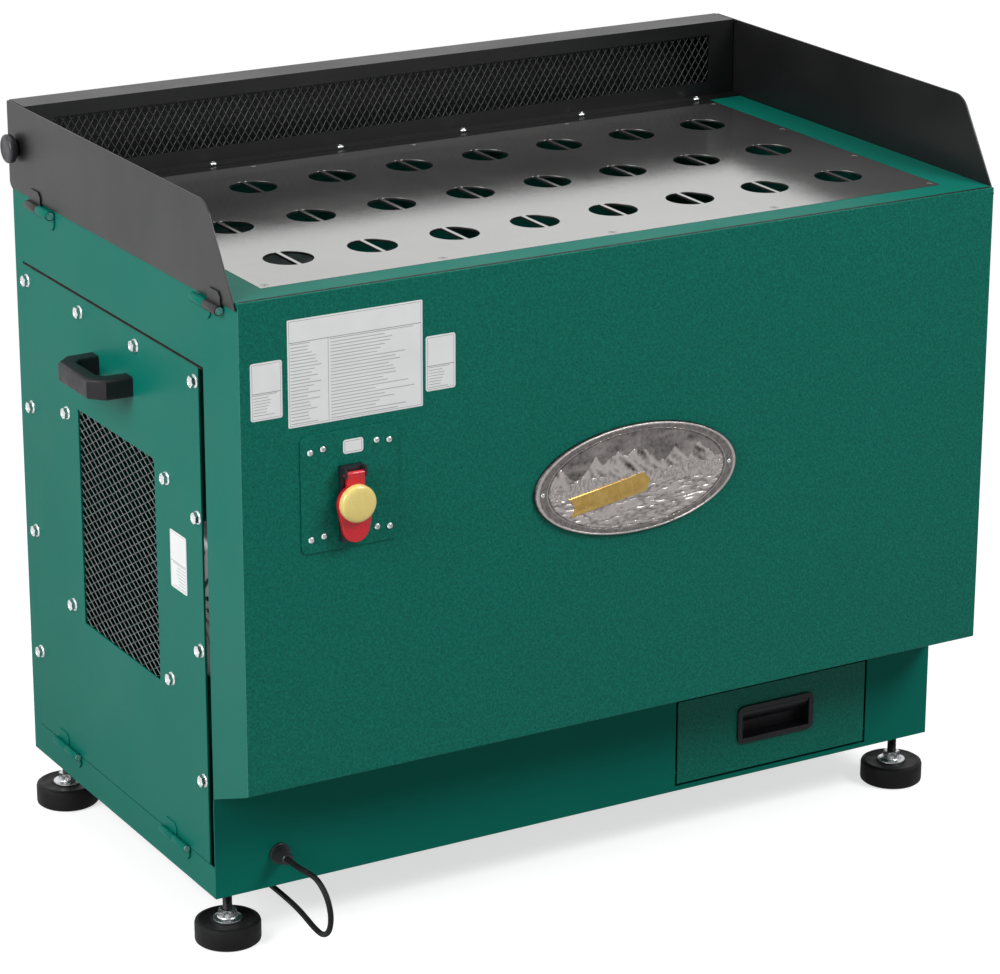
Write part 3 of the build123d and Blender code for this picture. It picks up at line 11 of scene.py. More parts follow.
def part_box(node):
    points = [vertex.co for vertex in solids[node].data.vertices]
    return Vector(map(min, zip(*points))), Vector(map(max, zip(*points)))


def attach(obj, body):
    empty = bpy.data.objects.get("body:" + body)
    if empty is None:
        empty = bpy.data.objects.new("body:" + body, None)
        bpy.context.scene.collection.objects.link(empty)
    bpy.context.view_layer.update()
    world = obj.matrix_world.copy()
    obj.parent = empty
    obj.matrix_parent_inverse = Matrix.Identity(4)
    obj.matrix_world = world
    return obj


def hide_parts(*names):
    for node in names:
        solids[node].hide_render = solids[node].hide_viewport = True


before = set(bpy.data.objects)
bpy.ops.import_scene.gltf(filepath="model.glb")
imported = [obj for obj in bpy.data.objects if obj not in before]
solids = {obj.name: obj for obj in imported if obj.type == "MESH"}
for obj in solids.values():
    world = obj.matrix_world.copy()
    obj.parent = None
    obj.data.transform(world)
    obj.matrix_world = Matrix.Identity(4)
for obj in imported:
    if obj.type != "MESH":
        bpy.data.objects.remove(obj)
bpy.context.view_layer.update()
scene = bpy.context.scene


# Camera. It stands to the left of the table's front, above the shields' height, with a long lens
# that keeps the upright edges nearly parallel.
MM = 0.001
apron_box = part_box("apron_front")
MIDDLE = (apron_box[0].x + apron_box[1].x) / 2
BASE_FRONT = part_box("drawer_front")[0].y
BASE_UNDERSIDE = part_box("base_front")[0].z
CAMERA_PLACE = (-2282.8, -3725.2, 1941.7)
CAMERA_YAW = 0.524
CAMERA_PITCH = 0.3329
CAMERA_ROLL = 0.0021
CAMERA_LENS = 136.3
CAMERA_SENSOR = 36
CAMERA_REACH = 30


def spot(x, y, z):
    """A place in millimetres from the middle of the base front's lower edge: right, back and up."""
    return Vector((MIDDLE + x * MM, BASE_FRONT + y * MM, BASE_UNDERSIDE + z * MM))


def linked(name, data):
    """A new object in the scene."""
    holder = bpy.data.objects.new(name, data)
    scene.collection.objects.link(holder)
    return holder


camera_turn = Matrix.Rotation(-CAMERA_YAW, 4, "Z")
camera_turn @= Matrix.Rotation(pi / 2 - CAMERA_PITCH, 4, "X")
camera_turn @= Matrix.Rotation(CAMERA_ROLL, 4, "Z")
camera = linked("camera", bpy.data.cameras.new("camera"))
camera.data.lens = CAMERA_LENS
camera.data.sensor_width = CAMERA_SENSOR
camera.data.clip_end = CAMERA_REACH
camera.matrix_world = Matrix.Translation(spot(*CAMERA_PLACE)) @ camera_turn
scene.camera = camera
scene.view_settings.view_transform = "Standard"


# Mains lead. Three cores in a black rubber jacket leave the base front through a gland, loop down
# to the floor and run back under the table, where the rest is wound into a coil.
class Value:
    """A number or colour that changes over a surface. Arithmetic on it adds Math nodes."""

    def __init__(self, nodes, socket):
        self.nodes = nodes
        self.socket = socket

    def maths(self, operation, *others):
        """A Math node that takes this value and then the others."""
        inputs = dict(enumerate((self, *others)))
        return self.nodes.add("ShaderNodeMath", inputs, operation=operation)

    __add__ = __radd__ = partialmethod(maths, "ADD")
    __sub__ = partialmethod(maths, "SUBTRACT")
    __mul__ = __rmul__ = partialmethod(maths, "MULTIPLY")
    __truediv__ = partialmethod(maths, "DIVIDE")
    __gt__ = partialmethod(maths, "GREATER_THAN")
    __lt__ = partialmethod(maths, "LESS_THAN")
    __abs__ = partialmethod(maths, "ABSOLUTE")

    def __rsub__(self, other):
        return self.nodes.add("ShaderNodeMath", {0: other, 1: self}, operation="SUBTRACT")

    def output(self, name):
        """Another output of the same node."""
        return Value(self.nodes, self.socket.node.outputs[name])


class Nodes:
    """A node tree that is being filled."""

    def __init__(self, tree):
        self.tree = tree

    def add(self, kind, inputs=None, output=0, **settings):
        """One node: its settings first, then the numbers and links of its sockets."""
        node = self.tree.nodes.new(kind)
        for name, setting in settings.items():
            setattr(node, name, setting)
        for name, given in (inputs or {}).items():
            if isinstance(given, Value):
                self.tree.links.new(given.socket, node.inputs[name])
            else:
                node.inputs[name].default_value = given
        return Value(self, node.outputs[output])

    def spread(self, value, low, high, to_low=0.0, to_high=1.0):
        """The value's part from low to high, laid out from to_low to to_high."""
        ends = {"From Min": low, "From Max": high, "To Min": to_low, "To Max": to_high}
        return self.add("ShaderNodeMapRange", {"Value": value, **ends}, clamp=True)


class Finish(Nodes):
    """A material. What is the same all over is set on the shader, and what varies is linked."""

    def __init__(self, name, **uniform):
        self.material = bpy.data.materials.new(name)
        self.material.use_nodes = True
        super().__init__(self.material.node_tree)
        self.shader = self.tree.nodes["Principled BSDF"]
        self.place = self.add("ShaderNodeTexCoord", output="Object")
        self.give(**uniform)

    def give(self, **values):
        for name, given in values.items():
            socket = self.shader.inputs[name.replace("_", " ")]
            if isinstance(given, Value):
                self.tree.links.new(given.socket, socket)
            else:
                socket.default_value = given

    def along(self, axis):
        """The distance from the object's origin along one axis."""
        return self.add("ShaderNodeSeparateXYZ", {"Vector": self.place}, axis)

    def noise(self, per_metre, detail=2.0, rough=0.5, place=None):
        inputs = {"Scale": per_metre, "Detail": detail, "Roughness": rough}
        return self.add("ShaderNodeTexNoise", {"Vector": place or self.place, **inputs})

    def cells(self, per_metre, feature="F1", output="Distance"):
        inputs = {"Vector": self.place, "Scale": per_metre}
        return self.add("ShaderNodeTexVoronoi", inputs, output, feature=feature)

    def mix(self, share, first, second):
        """Colours, first where share is 0 and second where it is 1."""
        inputs = {0: share}
        for index, colour in ((6, first), (7, second)):
            inputs[index] = colour if isinstance(colour, Value) else (*colour, 1)
        return self.add("ShaderNodeMix", inputs, 2, data_type="RGBA")

    def relief(self, height, depth):
        """Bumps up to depth metres high."""
        inputs = {"Height": height, "Distance": depth, "Strength": 1.0}
        self.give(Normal=self.add("ShaderNodeBump", inputs))


PATCHES = (0.35, 0.7)
EVEN_PATCHES = (0.3, 0.7)


def mottled(name, colours, tone, gloss, rough, bumps=None, patches=PATCHES, **uniform):
    """A finish that varies between two colours and two values of roughness.

    tone and gloss are the noises behind them, each its bumps per metre, detail and roughness, and
    patches is the part of tone between the colours. bumps is a noise and its depth in metres."""
    finish = Finish(name, **uniform)
    finish.give(
        Base_Color=finish.mix(finish.spread(finish.noise(*tone), *patches), *colours),
        Roughness=finish.spread(finish.noise(*gloss), *EVEN_PATCHES, *rough),
    )
    if bumps:
        finish.relief(finish.noise(*bumps[:-1]), bumps[-1])
    return finish


rubber = mottled(
    "black_rubber", ((0.005, 0.005, 0.0055), (0.011, 0.011, 0.0115)), (26, 4), (90, 3),
    (0.42, 0.62), (1400, 2, 0.00006), Specular_IOR_Level=0.2,
)

GLAND = (-435, 42)
LEAD_ROUTE = [
    (-435, -24, 42), (-435, -48, 42), (-434.5, -72, 45), (-434, -97, 46.5), (-432, -117.5, 33),
    (-430.5, -126, 9.5), (-429, -118, -14.5), (-427, -97.5, -29), (-425, -72.5, -31),
    (-423, -48, -29), (-421, -23, -27.5), (-420, 2, -27), (-419, 27, -27.5), (-418, 52, -28.5),
    (-416, 77, -30.5), (-414, 101, -35), (-411, 125, -43), (-408, 149, -52.5), (-405, 173, -61),
    (-402, 197, -67), (-400, 220, -68.5), (-400, 240, -68.5),
]
LEAD_RADIUS = 3.5
COIL_Y = 247
COIL_FLOOR = -68.5
COIL_CLIMB = 7.6
COIL_RADII = (48, 44.1, 40.2, 36.3, 32.4, 28.5, 32.4, 36.3, 40.2, 44.1, 48)
COIL_CLIMBING_TURN = 5
COIL_STEPS = 12

lead_points = [spot(*point) for point in LEAD_ROUTE]
coil_x = LEAD_ROUTE[-1][0]
heading = pi
for number, radius in enumerate(COIL_RADII):
    outward = 1 if number % 2 == 0 else -1
    wide = radius / cos(pi / COIL_STEPS / 2)
    for step in range(COIL_STEPS):
        share = (step + 0.5) / COIL_STEPS
        climbed = number > COIL_CLIMBING_TURN
        if number == COIL_CLIMBING_TURN:
            climbed = (1 - cos(pi * share)) / 2
        x = coil_x + outward * radius + wide * cos(heading - pi * share)
        y = COIL_Y + wide * sin(heading - pi * share)
        lead_points.append(spot(x, y, COIL_FLOOR + COIL_CLIMB * climbed))
    heading -= pi
    coil_x += 2 * outward * radius
LEAD_END = (coil_x, COIL_Y - 2 * LEAD_RADIUS, COIL_FLOOR + COIL_CLIMB)
lead_points.append(spot(*LEAD_END))

lead_curve = bpy.data.curves.new("mains_lead", "CURVE")
lead_curve.dimensions = "3D"
lead_line = lead_curve.splines.new("NURBS")
lead_line.points.add(len(lead_points) - 1)
for point, place in zip(lead_line.points, lead_points):
    point.co = (*place, 1)
lead_line.order_u = 3
lead_line.use_endpoint_u = True
lead_line.resolution_u = 6
lead_curve.bevel_depth = LEAD_RADIUS * MM
lead_curve.bevel_resolution = 5
lead_curve.materials.append(rubber.material)
mains_lead = linked("mains_lead", lead_curve)
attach(mains_lead, "cabinet")
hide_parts("power_cord", "cord_coil")


# Plug: a black plastic grip with finger ribs, which narrows onto the lead's end that it is moulded
# on, and three nickel-plated pins.
CREASE = 32


def meshed(name, drawn):
    """A plain mesh of what has been drawn."""
    mesh = bpy.data.meshes.new(name)
    drawn.to_mesh(mesh)
    drawn.free()
    return mesh


def place_piece(name, mesh, body, slot, finish, *stands_for, crease=CREASE):
    """A mesh as a piece that rides on its body and stands for CAD nodes.

    It is shaded smooth but for edges sharper than crease degrees, unless crease is None."""
    if isinstance(mesh, bmesh.types.BMesh):
        mesh = meshed(name, mesh)
    if crease:
        mesh.polygons.foreach_set("use_smooth", [True] * len(mesh.polygons))
        mesh.set_sharp_from_angle(angle=radians(crease))
    mesh.materials.clear()
    mesh.materials.append(finish.material)
    piece = linked(name, mesh)
    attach(piece, body)
    if stands_for:
        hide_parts(*stands_for)
    return piece


def turned(drawn, profile, place, along, steps=40):
    """Adds a turned shape to a bmesh: (distance along the axis, radius) pairs in millimetres."""
    aim = Matrix.Translation(place) @ Vector(along).to_track_quat("Z", "Y").to_matrix().to_4x4()
    rings = []
    for height, radius in profile:
        angles = [2 * pi * i / steps for i in range(steps)] if radius else [0]
        around = [Vector((radius * cos(a), radius * sin(a), height)) * MM for a in angles]
        rings.append([drawn.verts.new(aim @ point) for point in around])
    for lower, upper in zip(rings, rings[1:]):
        for i in range(steps):
            j = i + 1
            corners = [lower[i % len(lower)], lower[j % len(lower)]]
            corners += [upper[j % len(upper)], upper[i % len(upper)]]
            around = list(dict.fromkeys(corners))
            if len(around) > 2:
                drawn.faces.new(around)
    return drawn


def joined(drawn, rings):
    """Skins a row of rings and closes both ends."""
    for lower, upper in zip(rings, rings[1:]):
        for i in range(len(lower)):
            j = (i + 1) % len(lower)
            drawn.faces.new((lower[i], lower[j], upper[j], upper[i]))
    drawn.faces.new(list(reversed(rings[0])))
    drawn.faces.new(rings[-1])
    return drawn


def oblong(width, height, corner, steps=4):
    """The outline of a rectangle with round corners, in millimetres, about its middle."""
    outline = []
    for number, (side_x, side_z) in enumerate(((1, 1), (-1, 1), (-1, -1), (1, -1))):
        for step in range(steps + 1):
            angle = pi / 2 * (number + step / steps)
            x = side_x * (width / 2 - corner) + corner * cos(angle)
            outline.append((x, side_z * (height / 2 - corner) + corner * sin(angle)))
    return outline


def stacked(drawn, sections, place):
    """Adds a closed body through sections, each (outline, distance), put in place by a function."""
    rings = [
        [drawn.verts.new(place(across, up, distance)) for across, up in outline]
        for outline, distance in sections
    ]
    return joined(drawn, rings)


def closed(sections, place):
    """A body through sections, with its faces turned outwards."""
    drawn = stacked(bmesh.new(), sections, place)
    bmesh.ops.recalc_face_normals(drawn, faces=drawn.faces)
    return drawn


black_plastic = mottled(
    "black_plastic", ((0.013, 0.013, 0.016), (0.020, 0.020, 0.024)), (35, 3), (120, 3),
    (0.28, 0.44), (2600, 1, 0.00004), patches=(0.4, 0.7), Specular_IOR_Level=0.5,
)
zinc = mottled(
    "zinc_steel", ((0.62, 0.64, 0.66), (0.83, 0.84, 0.84)), (420, 3), (900, 2), (0.2, 0.36),
    (2200, 2, 0.00003), Metallic=1.0,
)

SLEEVE_WIDTH = 8.8
NECK_START = 2
NECK_WIDTH = 9
NECK_WIDENING = 1.15
NECK_RIBS = 6
NECK_RIB_PITCH = 3.6
NECK_RIB = [(0, 0), (1.8, 0), (2.1, 1.2), (3.3, 1.2)]
PLUG_NECK = 24
PLUG_LENGTH = 38
PLUG_WIDTH = 26
PLUG_HEIGHT = 21
PLUG_CORNER = 5
PLUG_SHOULDER = [(PLUG_NECK, 2), (PLUG_NECK + 2.5, 0.3), (PLUG_NECK + 6, 0)]
GRIP_START = PLUG_NECK + 9
GRIP_RIBS = 4
GRIP_RIB_PITCH = 5
GRIP_RIB = [(0, 0), (0.8, 1.6), (2, 1.6), (2.8, 0)]
BLADE_MIDDLE = (6.4, 3)
BLADE_THICK, BLADE_WIDE, BLADE_CORNER = 1.6, 6.5, 0.5
BLADE = [(0, 0), (18.5, 0), (20, 2.2)]
EARTH_DOWN = -6
EARTH_PIN = [(0, 0), (0, 2.4), (19.5, 2.4), (21.2, 1.6), (22, 0)]


def on_plug(across, up, along):
    return spot(LEAD_END[0] - across, LEAD_END[1] - along, LEAD_END[2] + up)


def round_section(width):
    return oblong(width, width, width / 2 - 0.01)


def grip_section(shrink, corner=PLUG_CORNER):
    return oblong(PLUG_WIDTH - shrink, PLUG_HEIGHT - shrink, corner)


grip = [(round_section(SLEEVE_WIDTH), 0.1)]
for rib in range(NECK_RIBS):
    start = NECK_START + rib * NECK_RIB_PITCH
    wide = NECK_WIDTH + rib * NECK_WIDENING
    grip += [(round_section(wide - shrink), start + along) for along, shrink in NECK_RIB]
grip += [(grip_section(shrink), along) for along, shrink in PLUG_SHOULDER]
for rib in range(GRIP_RIBS):
    start = GRIP_START + rib * GRIP_RIB_PITCH
    grip += [(grip_section(shrink), start + along) for along, shrink in GRIP_RIB]
grip.append((grip_section(0), PLUG_NECK + PLUG_LENGTH - 1))
grip.append((grip_section(2, PLUG_CORNER - 1), PLUG_NECK + PLUG_LENGTH))
plug_grip = place_piece(
    "plug_grip", stacked(bmesh.new(), grip, on_plug), "cabinet", "black_plastic", black_plastic,
    "plug",
)
plug_face = PLUG_NECK + PLUG_LENGTH - 2
pins = bmesh.new()
for side in (-1, 1):
    blade = []
    for along, cut in BLADE:
        section = oblong(BLADE_THICK, BLADE_WIDE - cut, BLADE_CORNER, 2)
        outline = [(side * BLADE_MIDDLE[0] + x, BLADE_MIDDLE[1] + z) for x, z in section]
        blade.append((outline, plug_face + along))
    stacked(pins, blade, on_plug)
turned(pins, EARTH_PIN, on_plug(0, EARTH_DOWN, plug_face), (0, -1, 0), 20)
plug_pins = place_piece("plug_pins", pins, "cabinet", "black_plastic", zinc)
spot(*LEAD_ROUTE[0])


# The gland in the base front: a black plastic nut against the sheet and a ribbed sleeve that stops
# the lead from kinking.
GLAND_NUT = [(0, 0), (0, 12.4), (0.5, 13), (3.5, 13), (4, 12.4), (4, 11)]
GLAND_RIB = [(0, 0), (2, -0.2), (2.4, -1.9), (3.3, -2)]
GLAND_RIBS = 5
GLAND_RIB_PITCH = 3.7
GLAND_SLEEVE = (4.4, 10.9)
GLAND_TAPER = 0.75
GLAND_END = [(22.9, 7.3), (24, 6.6), (24, 3.6), (20, 0)]
gland_sleeve = [
    (GLAND_SLEEVE[0] + rib * GLAND_RIB_PITCH + along, GLAND_SLEEVE[1] - rib * GLAND_TAPER + wider)
    for rib in range(GLAND_RIBS)
    for along, wider in GLAND_RIB
]
gland = turned(
    bmesh.new(), GLAND_NUT + gland_sleeve + GLAND_END, spot(GLAND[0], 0, GLAND[1]), (0, -1, 0), 48
)
place_piece("lead_gland", gland, "cabinet", "black_plastic", black_plastic, "cord_gland")


# Floor and lamps. A plain white floor and sky, and three large soft lamps: one to the left, one in
# front and one above. In mirrored light the room is white to the left, behind and above, and dim
# in front and to the right, where it has no white wall.
MIRRORED_DIM = 0.3
SKY_LIGHT = 0.22
FLOOR_HALF = 12
FLOOR_DROP = 0.0002
FLOOR_CORNERS = [(-1, -1), (1, -1), (1, 1), (-1, 1)]
LAMPS = {
    "lamp_left": ((-3.2, -0.6, 2.2), (0, 0, 0.5), 2.2, 2.0, 100),
    "lamp_front": ((2.2, -3.0, 3.7), (0.2, 0, 0.5), 2.2, 1.6, 134),
    "lamp_above": ((0.2, 0.3, 3.4), (0, 0, 0.8), 2.6, 2.0, 20),
}


def looked_at(nodes, mirrored):
    """1 where the camera looks straight or through glass, and mirrored where a gloss mirrors."""
    ray = nodes.add("ShaderNodeLightPath", output="Is Camera Ray")
    straight_or_gloss = ray.maths("MAXIMUM", ray.output("Is Glossy Ray") * mirrored)
    return straight_or_gloss.maths("MAXIMUM", ray.output("Is Transmission Ray"))


floor_finish = Finish("studio_floor", Roughness=0.9, Specular_IOR_Level=0.1, Emission_Strength=1.0)
floor_seen = looked_at(
    floor_finish, floor_finish.spread(floor_finish.along("X"), -0.85, -0.4, 1.0, MIRRORED_DIM)
)
floor_reach = floor_finish.add(
    "ShaderNodeVectorMath", {0: floor_finish.place}, "Value", operation="LENGTH"
)
floor_far = floor_finish.spread(floor_reach, 1.0, 3.2)
floor_paint = floor_finish.mix(floor_far, (0.62, 0.62, 0.62), (0, 0, 0))
floor_glow = floor_finish.mix(floor_far, (0.66, 0.66, 0.66), (1, 1, 1))
floor_finish.give(
    Base_Color=floor_finish.mix(floor_seen, (0.32, 0.32, 0.32), floor_paint),
    Emission_Color=floor_finish.mix(floor_seen, (0, 0, 0), floor_glow),
)
floor_mesh = bpy.data.meshes.new("floor")
floor_mesh.from_pydata(
    [(x * FLOOR_HALF, y * FLOOR_HALF, -FLOOR_DROP) for x, y in FLOOR_CORNERS], [], [(0, 1, 2, 3)]
)
floor_mesh.materials.append(floor_finish.material)
linked("floor", floor_mesh)

sky = bpy.data.worlds.new("sky")
scene.world = sky
sky.use_nodes = True
sky_nodes = Nodes(sky.node_tree)
sky_place = sky_nodes.add("ShaderNodeTexCoord", output="Generated")
sky_across = sky_nodes.add("ShaderNodeSeparateXYZ", {"Vector": sky_place}, "X")
sky_side = sky_across.output("Y") - sky_across + sky_across.output("Z") * 0.6
sky_seen = looked_at(sky_nodes, sky_nodes.spread(sky_side, -0.4, 0.4, MIRRORED_DIM, 1.0))
sky_strength = sky_seen * (1 - SKY_LIGHT) + SKY_LIGHT
background = sky.node_tree.nodes["Background"]
background.inputs["Color"].default_value = (1, 1, 1, 1)
sky.node_tree.links.new(sky_strength.socket, background.inputs["Strength"])

for name, (place, aim, width, height, watts) in LAMPS.items():
    lamp = bpy.data.lights.new(name, "AREA")
    lamp.shape = "RECTANGLE"
    lamp.size = width
    lamp.size_y = height
    lamp.energy = watts
    lamp_turn = (Vector(aim) - Vector(place)).to_track_quat("-Z", "Y").to_matrix().to_4x4()
    linked(name, lamp).matrix_world = Matrix.Translation(place) @ lamp_turn


# Cabinet of folded steel sheet: base front, floor, sides, back and rim, spot-welded together and
# powder-coated in a smooth satin green.
WELD = 0.005 * MM
FINE_WELD = 0.002 * MM
FLAT = radians(0.5)
BEND = radians(25)
BROAD = 6 * MM


def painted(name, colours, specular, orange_peel):
    """Powder coat: nearly even, a little deeper in patches, with a fine orange-peel surface."""
    tone, gloss, patches = (3.1, 3), (7, 4, 0.6), (0.3, 0.72)
    finish = mottled(
        name, colours, tone, gloss, (0.34, 0.44), patches=patches, Specular_IOR_Level=specular
    )
    finish.relief(finish.noise(420, 2) + finish.noise(150, 1) * 0.8, orange_peel)
    return finish


def bend_of(edge):
    """The angle between the two faces at an edge, or 0 where it has no two."""
    return edge.calc_face_angle(0) if len(edge.link_faces) == 2 else 0


def eased(node, width, steps):
    """A copy of a CAD node with its faces joined up and its edges rounded by width millimetres."""
    copy = bmesh.new()
    copy.from_mesh(solids[node].data)
    bmesh.ops.remove_doubles(copy, verts=copy.verts, dist=WELD)
    bmesh.ops.dissolve_limit(copy, angle_limit=FLAT, verts=copy.verts, edges=copy.edges)
    rounded = bmesh.ops.bevel(
        copy, geom=[edge for edge in copy.edges if bend_of(edge) > BEND], offset=width * MM,
        segments=steps, affect="EDGES", profile=0.5, clamp_overlap=True,
    )["faces"]
    bmesh.ops.remove_doubles(copy, verts=copy.verts, dist=FINE_WELD)
    rounded = {face for face in rounded if face.is_valid}
    for face in copy.faces:
        plain = [edge for edge in face.edges if not rounded.intersection(edge.link_faces)]
        curved = any(radians(0.6) < bend_of(edge) < BEND for edge in plain)
        broad = face.calc_area() > BROAD * max(edge.calc_length() for edge in face.edges)
        face.smooth = not broad and (face in rounded or curved)
    return copy


def ease_piece(name, node, width, body, slot, finish, steps=2):
    """A CAD node with rounded edges as a piece that stands for it."""
    return place_piece(name, eased(node, width, steps), body, slot, finish, node, crease=None)


def dressed(finish, *names):
    """Gives CAD nodes whose shape is right their finish."""
    for name in names:
        solid = solids[name]
        if not solid.data.materials:
            solid.data.materials.append(None)
        for slot in solid.material_slots:
            slot.material = finish.material


green_paint = painted(
    "satin_green_paint", ((0.003, 0.166, 0.124), (0.0025, 0.152, 0.113)), 0.06, 0.00005
)
dressed(green_paint, "base_floor", "back_panel", "right_side", "left_side", "base_front")
ease_piece("rim", "top_rim", 0.4, "cabinet", "green_paint", green_paint)


# Apron: the deep front sheet that stands out over the base, folded at its foot, in a coarser
# hammered green whose beads show as fine dark and light grain. A thin black strip in the seam
# behind its top edge is painted shadow, standing in for the seam's dark gap.
APRON_SEAM_SHADOW = ((-518, -92, 763.02), (518, -87.5, 763.2))


def strip(name, low, high, body, slot, finish):
    """A thin straight strip between two corners, in millimetres of the cabinet."""
    low, high = spot(*low), spot(*high)
    drawn = bmesh.new()
    size = Matrix.Diagonal((*(high - low), 1))
    bmesh.ops.create_cube(drawn, size=1, matrix=Matrix.Translation((low + high) / 2) @ size)
    return place_piece(name, drawn, body, slot, finish)


hammered = Finish("hammered_green_paint", Specular_IOR_Level=0.15)
beads = hammered.cells(330, "SMOOTH_F1") * 0.6 + hammered.noise(520, 3, 0.6) * 0.9
bead_share = hammered.spread(beads, 0.45, 1.0)
hammered.give(
    Base_Color=hammered.mix(bead_share, (0.0008, 0.100, 0.070), (0.005, 0.200, 0.147)),
    Roughness=hammered.spread(hammered.noise(6, 4, 0.6), *EVEN_PATCHES, 0.36, 0.46),
)
hammered.relief(beads, 0.0005)
ease_piece("apron", "apron_front", 0.5, "cabinet", "hammered_green", hammered)
# Painted shadow: a black strip stands in for the dark gap of the seam behind the apron's top edge.
strip("apron_seam_seal", *APRON_SEAM_SHADOW, "cabinet", "black_rubber", rubber)


# Worktop: a satin steel plate, dropped into the rim, that keeps a bar across each of its round air
# holes. It is ground one way and still reflects the shields softly. Its hole walls and every other
# face that doesn't face up are coloured dark as painted shade.
worktop_steel = Finish("worktop_steel", Metallic=0.9, Specular_IOR_Level=0.4)
ground_place = worktop_steel.add(
    "ShaderNodeMapping", {"Vector": worktop_steel.place, "Scale": (9, 900, 60)}
)
ground_lines = worktop_steel.noise(1, 4, 0.6, ground_place)
handled = worktop_steel.spread(worktop_steel.noise(5.5, 5, 0.6), 0.32, 0.72)
facing = worktop_steel.add("ShaderNodeTexCoord", output="Normal")
facing_up = worktop_steel.add("ShaderNodeSeparateXYZ", {"Vector": facing}, "Z")
# Painted shade: faces that don't face up, such as the hole walls, are coloured dark; they are also
# made rougher.
side_face_painted_shade = worktop_steel.spread(abs(facing_up), 0.2, 0.9, 1.0, 0.0)
ground_share = worktop_steel.spread(ground_lines * 0.5 + handled * 0.5, 0.2, 0.8)
ground_steel = worktop_steel.mix(ground_share, (0.39, 0.395, 0.385), (0.48, 0.485, 0.475))
ground_gloss = worktop_steel.spread(ground_lines * 0.4 + handled * 0.6, 0.2, 0.8, 0.09, 0.15)
worktop_steel.give(
    Base_Color=worktop_steel.mix(side_face_painted_shade, ground_steel, (0.05, 0.052, 0.05)),
    Roughness=ground_gloss + side_face_painted_shade * 0.35,
)
worktop_steel.relief(ground_lines, 0.00002)
ease_piece("worktop", "worktop_plate", 0.18, "cabinet", "worktop_grey", worktop_steel, 1)


# Worktop screws: fourteen small countersunk screws with cross recesses, flush with the plate.
# They are turned from the same steel and pull the plate down on the rim.
PLATE_TOP = 763
WORKTOP_SCREWS = [(x, y) for x in (-460, -230, 0, 230, 460) for y in (-40, 448)]
WORKTOP_SCREWS += [(x, y) for x in (-460, 460) for y in (122.7, 285.3)]
COUNTERSUNK = [(-6, 0), (-6, 2.3), (-2.6, 2.4), (-0.35, 4.6), (-0.05, 4.6), (0, 4.4)]
SCREW_STEPS = 24
RECESS_TAPER = 0.62


def grown_tree(name, numbers):
    """The start of a Geometry Nodes tree with its usual inputs and the numbers it is given."""
    tree = bpy.data.node_groups.new(name, "GeometryNodeTree")
    sockets = {"Geometry": ("Geometry", None), "Shape": ("Object", None), **numbers}
    for label, (kind, value) in {**sockets, "Finish": ("Material", None)}.items():
        socket = tree.interface.new_socket(label, in_out="INPUT", socket_type=f"NodeSocket{kind}")
        if value is not None:
            socket.default_value = value
    tree.interface.new_socket("Geometry", in_out="OUTPUT", socket_type="NodeSocketGeometry")
    parts = Nodes(tree)
    return parts, parts.add("NodeGroupInput")


def close_tree(parts, start, points, **turning):
    """Ends a tree: its shape is put on each point, made real and given its finish."""
    shape = parts.add("GeometryNodeObjectInfo", {"Object": start.output("Shape")}, "Geometry")
    inputs = {"Points": points, "Instance": shape, **turning}
    placed = parts.add("GeometryNodeInstanceOnPoints", inputs)
    real = parts.add("GeometryNodeRealizeInstances", {"Geometry": placed})
    coated = parts.add(
        "GeometryNodeSetMaterial", {"Geometry": real, "Material": start.output("Finish")}
    )
    end = parts.tree.nodes.new("NodeGroupOutput")
    parts.tree.links.new(coated.socket, end.inputs["Geometry"])


def grown(name, parts, points, finish, **given):
    """The plain mesh that a tree makes from a mesh of points and the values of its inputs."""
    given["Finish"] = finish.material
    holder = linked(name, points)
    modifier = holder.modifiers.new(name, "NODES")
    modifier.node_group = parts.tree
    for socket in parts.tree.interface.items_tree:
        label = socket.name.replace(" ", "_")
        if socket.in_out == "INPUT" and label in given:
            modifier[socket.identifier] = given[label]
    view = bpy.context.evaluated_depsgraph_get()
    mesh = bpy.data.meshes.new_from_object(holder.evaluated_get(view), depsgraph=view)
    holder.modifiers.remove(modifier)
    bpy.data.objects.remove(holder)
    return mesh


def pattern(name, drawn):
    """A shape that a tree repeats. It stays out of the scene itself."""
    return bpy.data.objects.new(name, meshed(name, drawn))


screw_tree, start = grown_tree(
    "screws_on_points",
    {"Facing": ("Vector", (0, 0, 1)), "Greatest Turn": ("Float", 3.1), "Seed": ("Int", 0)},
)
screw_aim = screw_tree.add(
    "FunctionNodeAlignRotationToVector", {"Vector": start.output("Facing")}, axis="Z"
)
screw_turn = screw_tree.add(
    "FunctionNodeRandomValue", {3: start.output("Greatest Turn"), "Seed": start.output("Seed")}, 1,
    data_type="FLOAT",
)
about_axis = screw_tree.add("ShaderNodeCombineXYZ", {"Z": screw_turn})
spin = screw_tree.add("FunctionNodeEulerToRotation", {0: about_axis})
screw_rotation = screw_tree.add(
    "FunctionNodeRotateRotation", {0: screw_aim, 1: spin}, rotation_space="LOCAL"
)
close_tree(screw_tree, start, start.output("Geometry"), Rotation=screw_rotation)


def tightened(name, shape, places, facing, finish, seed):
    """Like screws at their places as one mesh, each turned by chance as it came tight."""
    points = bpy.data.meshes.new(name)
    points.from_pydata([tuple(place) for place in places], [], [])
    return grown(name, screw_tree, points, finish, Shape=shape, Facing=facing, Seed=seed)


def screws(name, shape, places, facing, body, finish, *stands_for, seed=1):
    """Like screws as one piece."""
    mesh = tightened(name, shape, places, facing, finish, seed)
    return place_piece(name, mesh, body, "zinc_steel", finish, *stands_for)


